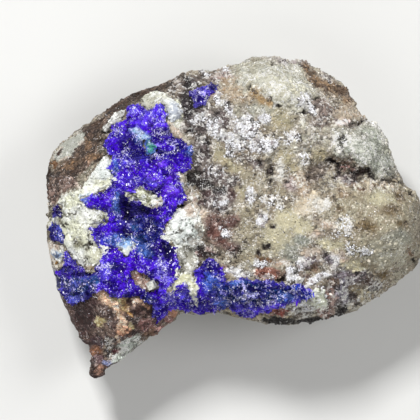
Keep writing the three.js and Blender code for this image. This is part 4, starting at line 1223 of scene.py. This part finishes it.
def blueFinish():
    finish = Finish("linariteFinish", {"Roughness": 0.35, "Specular IOR Level": 0.15})
    ground = finish.attribute("ground", "Color")
    shade = specked(finish, ground, tone(12, 2, 76), tone(200, 190, 255), seed=10, size=0.28, thread=0.25)
    finish.feed("Base Color", shade)
    finish.feed("Normal", finish.bump(finish.speckle(0.4, 5, 4, 0.8), 0.3))
    return finish


def paleFinish():
    finish = Finish("paleCrustFinish", {"Roughness": 0.8, "Specular IOR Level": 0.3})
    ground = finish.attribute("ground", "Color")
    shade = specked(finish, ground, tone(104, 98, 82), tone(248, 250, 247), seed=14, size=0.6)
    finish.feed("Base Color", finish.mix(finish.attribute("fissure") * 0.9, shade, tone(66, 58, 46)))
    finish.feed("Normal", finish.bump(finish.speckle(0.3, 5, 6, 0.8), 0.25))
    return finish


def grainFinish(name, constants, dark, light, often=1.0):
    # grains that take their colour from where they grow, and by chance are dark or light ones
    finish = Finish(name, constants)
    ground = finish.attribute("ground", "Color")
    chance, luck = finish.attribute("chance"), finish.attribute("luck")
    darks, lights = finish.attribute("dark"), finish.attribute("light") * often
    varied = finish.mix(luck, (0.6, 0.6, 0.6, 1), (1.08, 1.08, 1.08, 1))
    shade = finish.mix(1.0, ground, varied, "MULTIPLY")
    shade = finish.mix(darks * 0.8 + 0.2, ground, shade)
    shade = finish.mix((darks - chance).rise(-0.03, 0.03) * (luck * 0.6 + 0.2), shade, dark)
    lit = (chance + lights).rise(0.97, 1.03) * (luck * luck * 0.8 + 0.15)
    shade = finish.mix(lit, shade, gleam(finish, ground, light))
    finish.feed("Base Color", shade)
    return finish


# grains and crystals, as real meshes

def template(name, finish, shape):
    # one crystal; its faces share one patch of the map that scatter() lays out
    uv = shape.loops.layers.uv.new("OFBake")
    for face in shape.faces:
        for i, loop in enumerate(face.loops):
            angle = 2 * math.pi * i / len(face.loops)
            loop[uv].uv = (0.5 + 0.4 * math.cos(angle), 0.5 + 0.4 * math.sin(angle))
    bmesh.ops.recalc_face_normals(shape, faces=shape.faces)
    mesh = meshOf(shape, name)
    mesh.materials.append(finish.material)
    return bpy.data.objects.new(name, mesh)


def blade(sides, waist, tip):
    # a flat prism with a chisel end, one unit tall, rooted a little below its place
    shape = bmesh.new()
    bmesh.ops.create_cone(
        shape, cap_ends=True, cap_tris=False, segments=sides, radius1=0.5, radius2=0.5 * tip, depth=1,
    )
    bmesh.ops.translate(shape, verts=shape.verts, vec=(0, 0, 0.3))
    bmesh.ops.scale(shape, verts=shape.verts, vec=(1, waist, 1))
    return shape


def grain(seed):
    # an angular crumb
    shape = bmesh.new()
    bmesh.ops.create_icosphere(shape, subdivisions=1, radius=0.5)
    for vertex in shape.verts:
        vertex.co *= 1 + 0.3 * noise.noise(vertex.co * 3 + Vector((seed * 7.7, 0, 0)))
    return shape


def scatter(look):
    # strews copies of a look's kinds over its grounds and joins them in one real mesh
    name, kinds = look["name"], look["kinds"]
    crowd = bpy.data.collections.new(name + "Kinds")
    for kind in kinds:
        crowd.objects.link(kind)
    graph = Graph(bpy.data.node_groups.new(name + "Growth", "GeometryNodeTree"))
    for way in ("INPUT", "OUTPUT"):
        graph.tree.interface.new_socket("Geometry", in_out=way, socket_type="NodeSocketGeometry")
    ground = graph.node("NodeGroupInput")
    share = graph.node("GeometryNodeInputNamedAttribute", {"data_type": "FLOAT"}, {"Name": look["where"]})
    crowded = graph.node(
        "ShaderNodeMath", {"operation": "MULTIPLY"}, {0: share, 1: look["perSquareStep"] / step ** 2},
    )
    sown = graph.tree.nodes.new("GeometryNodeDistributePointsOnFaces")
    graph.tree.links.new(ground.socket, sown.inputs["Mesh"])
    graph.tree.links.new(crowded.socket, sown.inputs["Density"])
    sown.inputs["Seed"].default_value = look["seed"]
    places, upright = Wire(graph, sown.outputs["Points"]), Wire(graph, sown.outputs["Rotation"])
    if "comb" in look:
        upright = combed(graph, upright, look["comb"])

    def chance(kind, low, high, seed):
        inputs = {"Min": low, "Max": high, "Seed": seed}
        return graph.node("FunctionNodeRandomValue", {"data_type": kind}, inputs)

    lean = math.radians(look["lean"])
    leaning = rotated(graph, upright, chance("FLOAT_VECTOR", (-lean, -lean, 0), (lean, lean, 6.28), 2))
    smallest, largest = [tuple(side * step for side in size) for size in look["size"]]
    for label, kind, value in (
        ("number", "INT", graph.node("GeometryNodeInputIndex")),
        ("chance", "FLOAT", chance("FLOAT", 0.0, 1.0, 3)),
        ("luck", "FLOAT", chance("FLOAT", 0.0, 1.0, 6)),
    ):
        places = graph.node(
            "GeometryNodeStoreNamedAttribute", {"data_type": kind, "domain": "POINT"},
            {"Geometry": places, "Name": label, "Value": value},
        )
    crystals = graph.node(
        "GeometryNodeCollectionInfo", {},
        {"Collection": crowd, "Separate Children": True, "Reset Children": True},
    )
    copies = graph.node("GeometryNodeInstanceOnPoints", {}, {
        "Points": places, "Pick Instance": True, "Rotation": leaning, "Instance": crystals,
        "Instance Index": chance("INT", 0, len(kinds) - 1, 4),
        "Scale": chance("FLOAT_VECTOR", smallest, largest, 5),
    })
    joined = graph.node("GeometryNodeRealizeInstances", {}, {"Geometry": copies})
    graph.node("NodeGroupOutput", {}, {"Geometry": joined})

    piece = newPiece(name, joinedMesh(name, look["on"]))
    piece.modifiers.new("growth", "NODES").node_group = graph.tree
    mesh = settled(piece)
    spreadMap(mesh)
    mesh.shade_flat()
    print(name + ":", triangles(mesh), "triangles")
    return piece


def rotated(graph, rotation, turn):
    inputs = {"Rotation": rotation, "Rotate By": turn}
    return graph.node("FunctionNodeRotateRotation", {"rotation_space": "LOCAL"}, inputs)


def combed(graph, upright, comb):
    # turns neighbours the same way, so that they lie in sprays whose way swings round from place to place
    place = graph.node("GeometryNodeInputPosition")
    swing = graph.node(
        "ShaderNodeTexNoise", {}, {"Vector": place, "Scale": 1 / (comb["size"] * step), "Detail": 1.0},
    )
    way = swing * comb["swing"] + math.radians(comb["turn"])
    heading = rotated(graph, upright, graph.node("ShaderNodeCombineXYZ", {}, {"Z": way}))
    return rotated(graph, heading, (math.radians(comb["tilt"]), 0, 0))


def joinedMesh(name, pieces):
    shape = bmesh.new()
    for piece in pieces:
        shape.from_mesh(piece.data)
    return meshOf(shape, name + "Ground")


def spreadMap(mesh):
    # gives each grain a cell of its own in the square map
    numbers = readAll(mesh.attributes["number"].data, "value", kind=np.int32)
    number = numbers[readAll(mesh.loops, "vertex_index", kind=np.int32)]
    layer = mesh.uv_layers["OFBake"].uv
    cells = math.ceil(math.sqrt(numbers.max() + 1))
    corner = np.stack([number % cells, number // cells], 1)
    spread = (readAll(layer, "vector", 2) + corner) / cells
    layer.foreach_set("vector", spread.astype(np.float32).ravel())


# the grey cube

cubeLook = {"rounding": 0.05, "drop": 0.35, "fresh": (214, 214, 206), "worn": (150, 150, 142)}


def makeCube():
    shape = bmesh.new()
    shape.from_mesh(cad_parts["grey_cube"].data)
    bmesh.ops.remove_doubles(shape, verts=shape.verts, dist=weldDistance)
    bmesh.ops.dissolve_limit(shape, angle_limit=0.02, verts=shape.verts, edges=shape.edges)
    bmesh.ops.bevel(
        shape, geom=shape.edges, offset=cubeLook["rounding"] * step,
        affect="EDGES", segments=2, profile=0.5, material=-1,
    )
    bmesh.ops.translate(shape, verts=shape.verts, vec=(0, 0, -cubeLook["drop"] * step))
    finish = Finish("greyCubeFinish", {"Roughness": 0.35})
    worn = finish.speckle(0.3, 3, 8)
    shade = finish.mix(worn.rise(0.4, 0.6), tone(*cubeLook["fresh"]), tone(*cubeLook["worn"]))
    finish.feed("Base Color", shade)
    finish.feed("Normal", finish.bump(worn, 0.04))
    return newPiece("greyCube", meshOf(shape, "greyCube"), finish)


# build

def put(piece, slot, *nodes):
    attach(piece, "root")
    if nodes:
        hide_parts(*nodes)
    return piece


def copyOf(node):
    return fineCopy([node], node.replace("_", ""), crustLook["voxel"])


stone = put(makeStone(), "host_rock", "host_rock")
stone.data.materials.append(stoneFinish().material)

blue, pale = blueFinish(), paleFinish()
blueBodies = []
for seed, node in enumerate(blueNodes, blueLook["seed"]):
    body = crustBody(copyOf(node), blueLook, blueZones, seed, crustLook["drop"])
    body.data.materials.append(blue.material)
    blueBodies.append(put(body, "linarite", node))
paleBodies = []
for seed, node in enumerate([*paleNodes, "white_crust_core"], paleLook["seed"]):
    inlaid = node in ("pale_crust_island", "white_crust_core")
    body = crustBody(copyOf(node), paleLook, paleZones, seed, crustLook["inlayDrop" if inlaid else "drop"])
    body.data.materials.append(pale.material)
    paleBodies.append(put(body, "white_crust" if node == "white_crust_core" else "pale_crust", node))
for seed, look in enumerate(thinCrusts, thinLook["seed"]):
    sheet = drapedCrust(look, [stone, *blueBodies], seed)
    body = crustBody(sheet, {**paleLook, **thinLook}, paleZones, seed)
    body.data.materials.append(pale.material)
    paleBodies.append(put(body, "pale_crust"))
print("crusts:", sum(triangles(body.data) for body in blueBodies + paleBodies), "triangles")

tuft = crustBody(copyOf("green_tuft"), blueLook, greenZones, 90, crustLook["tuftDrop"])
tuft.data.materials.append(blue.material)
put(tuft, "green_crystal", "green_tuft")
put(makeCube(), "grey_cube", "grey_cube")

blueCrystals = grainFinish(
    "linariteCrystalFinish", {"Roughness": 0.35, "Specular IOR Level": 0.15}, tone(12, 2, 70),
    tone(214, 206, 255), 0.52,
)
paleGrains = grainFinish("paleGrainFinish", {"Roughness": 0.7}, tone(128, 122, 104), tone(250, 251, 247))
rockGrains = grainFinish("rockGrainFinish", {"Roughness": 0.5}, tone(30, 24, 24), tone(240, 238, 234))
crumbFinish = grainFinish("rockCrumbFinish", {"Roughness": 0.6}, tone(40, 33, 31), tone(232, 230, 224), 0.5)
sugarFinish = Finish("sugarFinish", {"Roughness": 0.35})
sugarShade = sugarFinish.mix(sugarFinish.attribute("luck"), tone(190, 188, 192), tone(250, 251, 254))
sugarFinish.feed("Base Color", sugarShade)
glintFinish = Finish("glintFinish", {"Roughness": 0.2, "Base Color": tone(248, 248, 255)})


def grains(name, finish, *seeds):
    return [template(name + str(seed), finish, grain(seed)) for seed in seeds]


blades = [
    template("bladeA", blueCrystals, blade(sides=4, waist=0.45, tip=0.25)),
    template("bladeB", blueCrystals, blade(sides=5, waist=0.7, tip=0.35)),
]
flakes = grains("flake", paleGrains, 1, 2)
sugars = grains("sugar", sugarFinish, 3, 4)
glints = [template("glint", glintFinish, blade(sides=3, waist=1.0, tip=0.4))]
specks = grains("speck", rockGrains, 5, 6, 7)
crumbs = grains("crumb", crumbFinish, 5, 6, 7)
onBlue = {"slot": "linarite", "on": [*blueBodies, tuft]}
onPale = {"slot": "pale_crust", "on": paleBodies}
onStone = {"slot": "host_rock", "on": [stone]}
spray = {"size": 1.4, "swing": 22, "turn": 0}  # how the blue blades lie together
# what is strewn where: how many to a square step, the smallest and largest sizes, and how far they may lean
growths = [
    {**onBlue, "name": "linariteNeedles", "kinds": blades, "where": "growth", "perSquareStep": 28,
     "size": [(0.09, 0.09, 0.12), (0.18, 0.18, 0.26)],
     "lean": 30, "comb": {**spray, "tilt": 60}, "seed": 1},
    {**onBlue, "name": "linariteBlades", "kinds": blades, "where": "growth", "perSquareStep": 26,
     "size": [(0.14, 0.14, 0.14), (0.28, 0.28, 0.34)],
     "lean": 25, "comb": {**spray, "tilt": 68}, "seed": 2},
    {**onBlue, "name": "linariteSprays", "kinds": blades, "where": "growth", "perSquareStep": 5,
     "size": [(0.2, 0.2, 0.3), (0.36, 0.36, 0.56)], "lean": 12, "comb": {**spray, "tilt": 74}, "seed": 3},
    {**onPale, "name": "paleFlakes", "kinds": flakes, "where": "growth", "perSquareStep": 4,
     "size": [(0.14, 0.05, 0.12), (0.3, 0.12, 0.4)], "lean": 12, "seed": 4,
     "comb": {"size": 2.5, "swing": 8, "turn": 125, "tilt": 80}},
    {**onBlue, "name": "linariteGlints", "kinds": glints, "where": "glint", "perSquareStep": 95,
     "size": [(0.05, 0.04, 0.05), (0.13, 0.1, 0.13)], "lean": 70, "seed": 8},
    {**onBlue, "name": "linariteSparks", "kinds": glints, "where": "growth", "perSquareStep": 1.4,
     "size": [(0.1, 0.09, 0.1), (0.26, 0.2, 0.24)], "lean": 70, "seed": 10},
    {**onStone, "name": "rockGlints", "kinds": glints, "where": "glint", "perSquareStep": 36,
     "size": [(0.04, 0.04, 0.04), (0.1, 0.09, 0.1)], "lean": 70, "seed": 9},
    {**onStone, "name": "whiteGrains", "kinds": sugars, "where": "clump", "perSquareStep": 80,
     "size": [(0.08, 0.08, 0.08), (0.27, 0.22, 0.22)], "lean": 80, "seed": 5},
    {**onStone, "name": "rockGrains", "kinds": specks, "where": "bare", "perSquareStep": 9.5,
     "size": [(0.08, 0.08, 0.06), (0.24, 0.2, 0.15)], "lean": 60, "seed": 6},
    {**onStone, "name": "rockCrumbs", "kinds": crumbs, "where": "coarse", "perSquareStep": 7,
     "size": [(0.2, 0.2, 0.14), (0.6, 0.5, 0.3)], "lean": 50, "seed": 7},
]
for look in growths:
    put(scatter(look), look["slot"])


# floor, lights and camera

studio = {
    "floor": (208, 208, 206),
    "floorReach": 60,
    # places and sizes in stone widths, power in watts
    "key": {"size": 2.2, "place": (-3.0, 6.5, 9.5), "power": 2.2},
    "side": {"size": 5, "place": (7.0, 1.0, 9.0), "power": 0.65},
    "fill": {"size": 8, "place": (-2.0, -7.0, 9.0), "power": 0.52},
    "sky": 0.18,
}

shape = bmesh.new()
bmesh.ops.create_grid(shape, x_segments=1, y_segments=1, size=studio["floorReach"] * width)
floorFinish = Finish("floorFinish", {"Roughness": 0.9, "Base Color": tone(*studio["floor"])})
newPiece("floor", meshOf(shape, "floor"), floorFinish)

for name in ("key", "side", "fill"):
    look = studio[name]
    lamp = bpy.data.lights.new(name, "AREA")
    lamp.size = look["size"] * width
    lamp.energy = look["power"]
    light = bpy.data.objects.new(name, lamp)
    light.location = middle + Vector(look["place"]) * width
    light.rotation_euler = (middle - light.location).to_track_quat("-Z", "Y").to_euler()
    scene.collection.objects.link(light)

world = bpy.data.worlds.new("studio")
world.use_nodes = True
world.node_tree.nodes["Background"].inputs["Color"].default_value = (1, 1, 1, 1)
world.node_tree.nodes["Background"].inputs["Strength"].default_value = studio["sky"]
scene.world = world
scene.view_settings.view_transform = "Standard"

view = {
    "across": 42.0, "rimHeight": 10.5, "middle": (-2.6, 0.65),  # in steps
    "distance": 15,  # in stone widths
}
camera = bpy.data.cameras.new("camera")
camera.clip_start, camera.clip_end = 0.01, 20
away = view["distance"] * width
camera.lens = camera.sensor_width * away / (view["across"] * step)
cameraObject = bpy.data.objects.new("camera", camera)
cameraObject.location = (
    middle.x + view["middle"][0] * step, middle.y + view["middle"][1] * step,
    stoneLow.z + view["rimHeight"] * step + away,
)
scene.collection.objects.link(cameraObject)
scene.camera = cameraObject
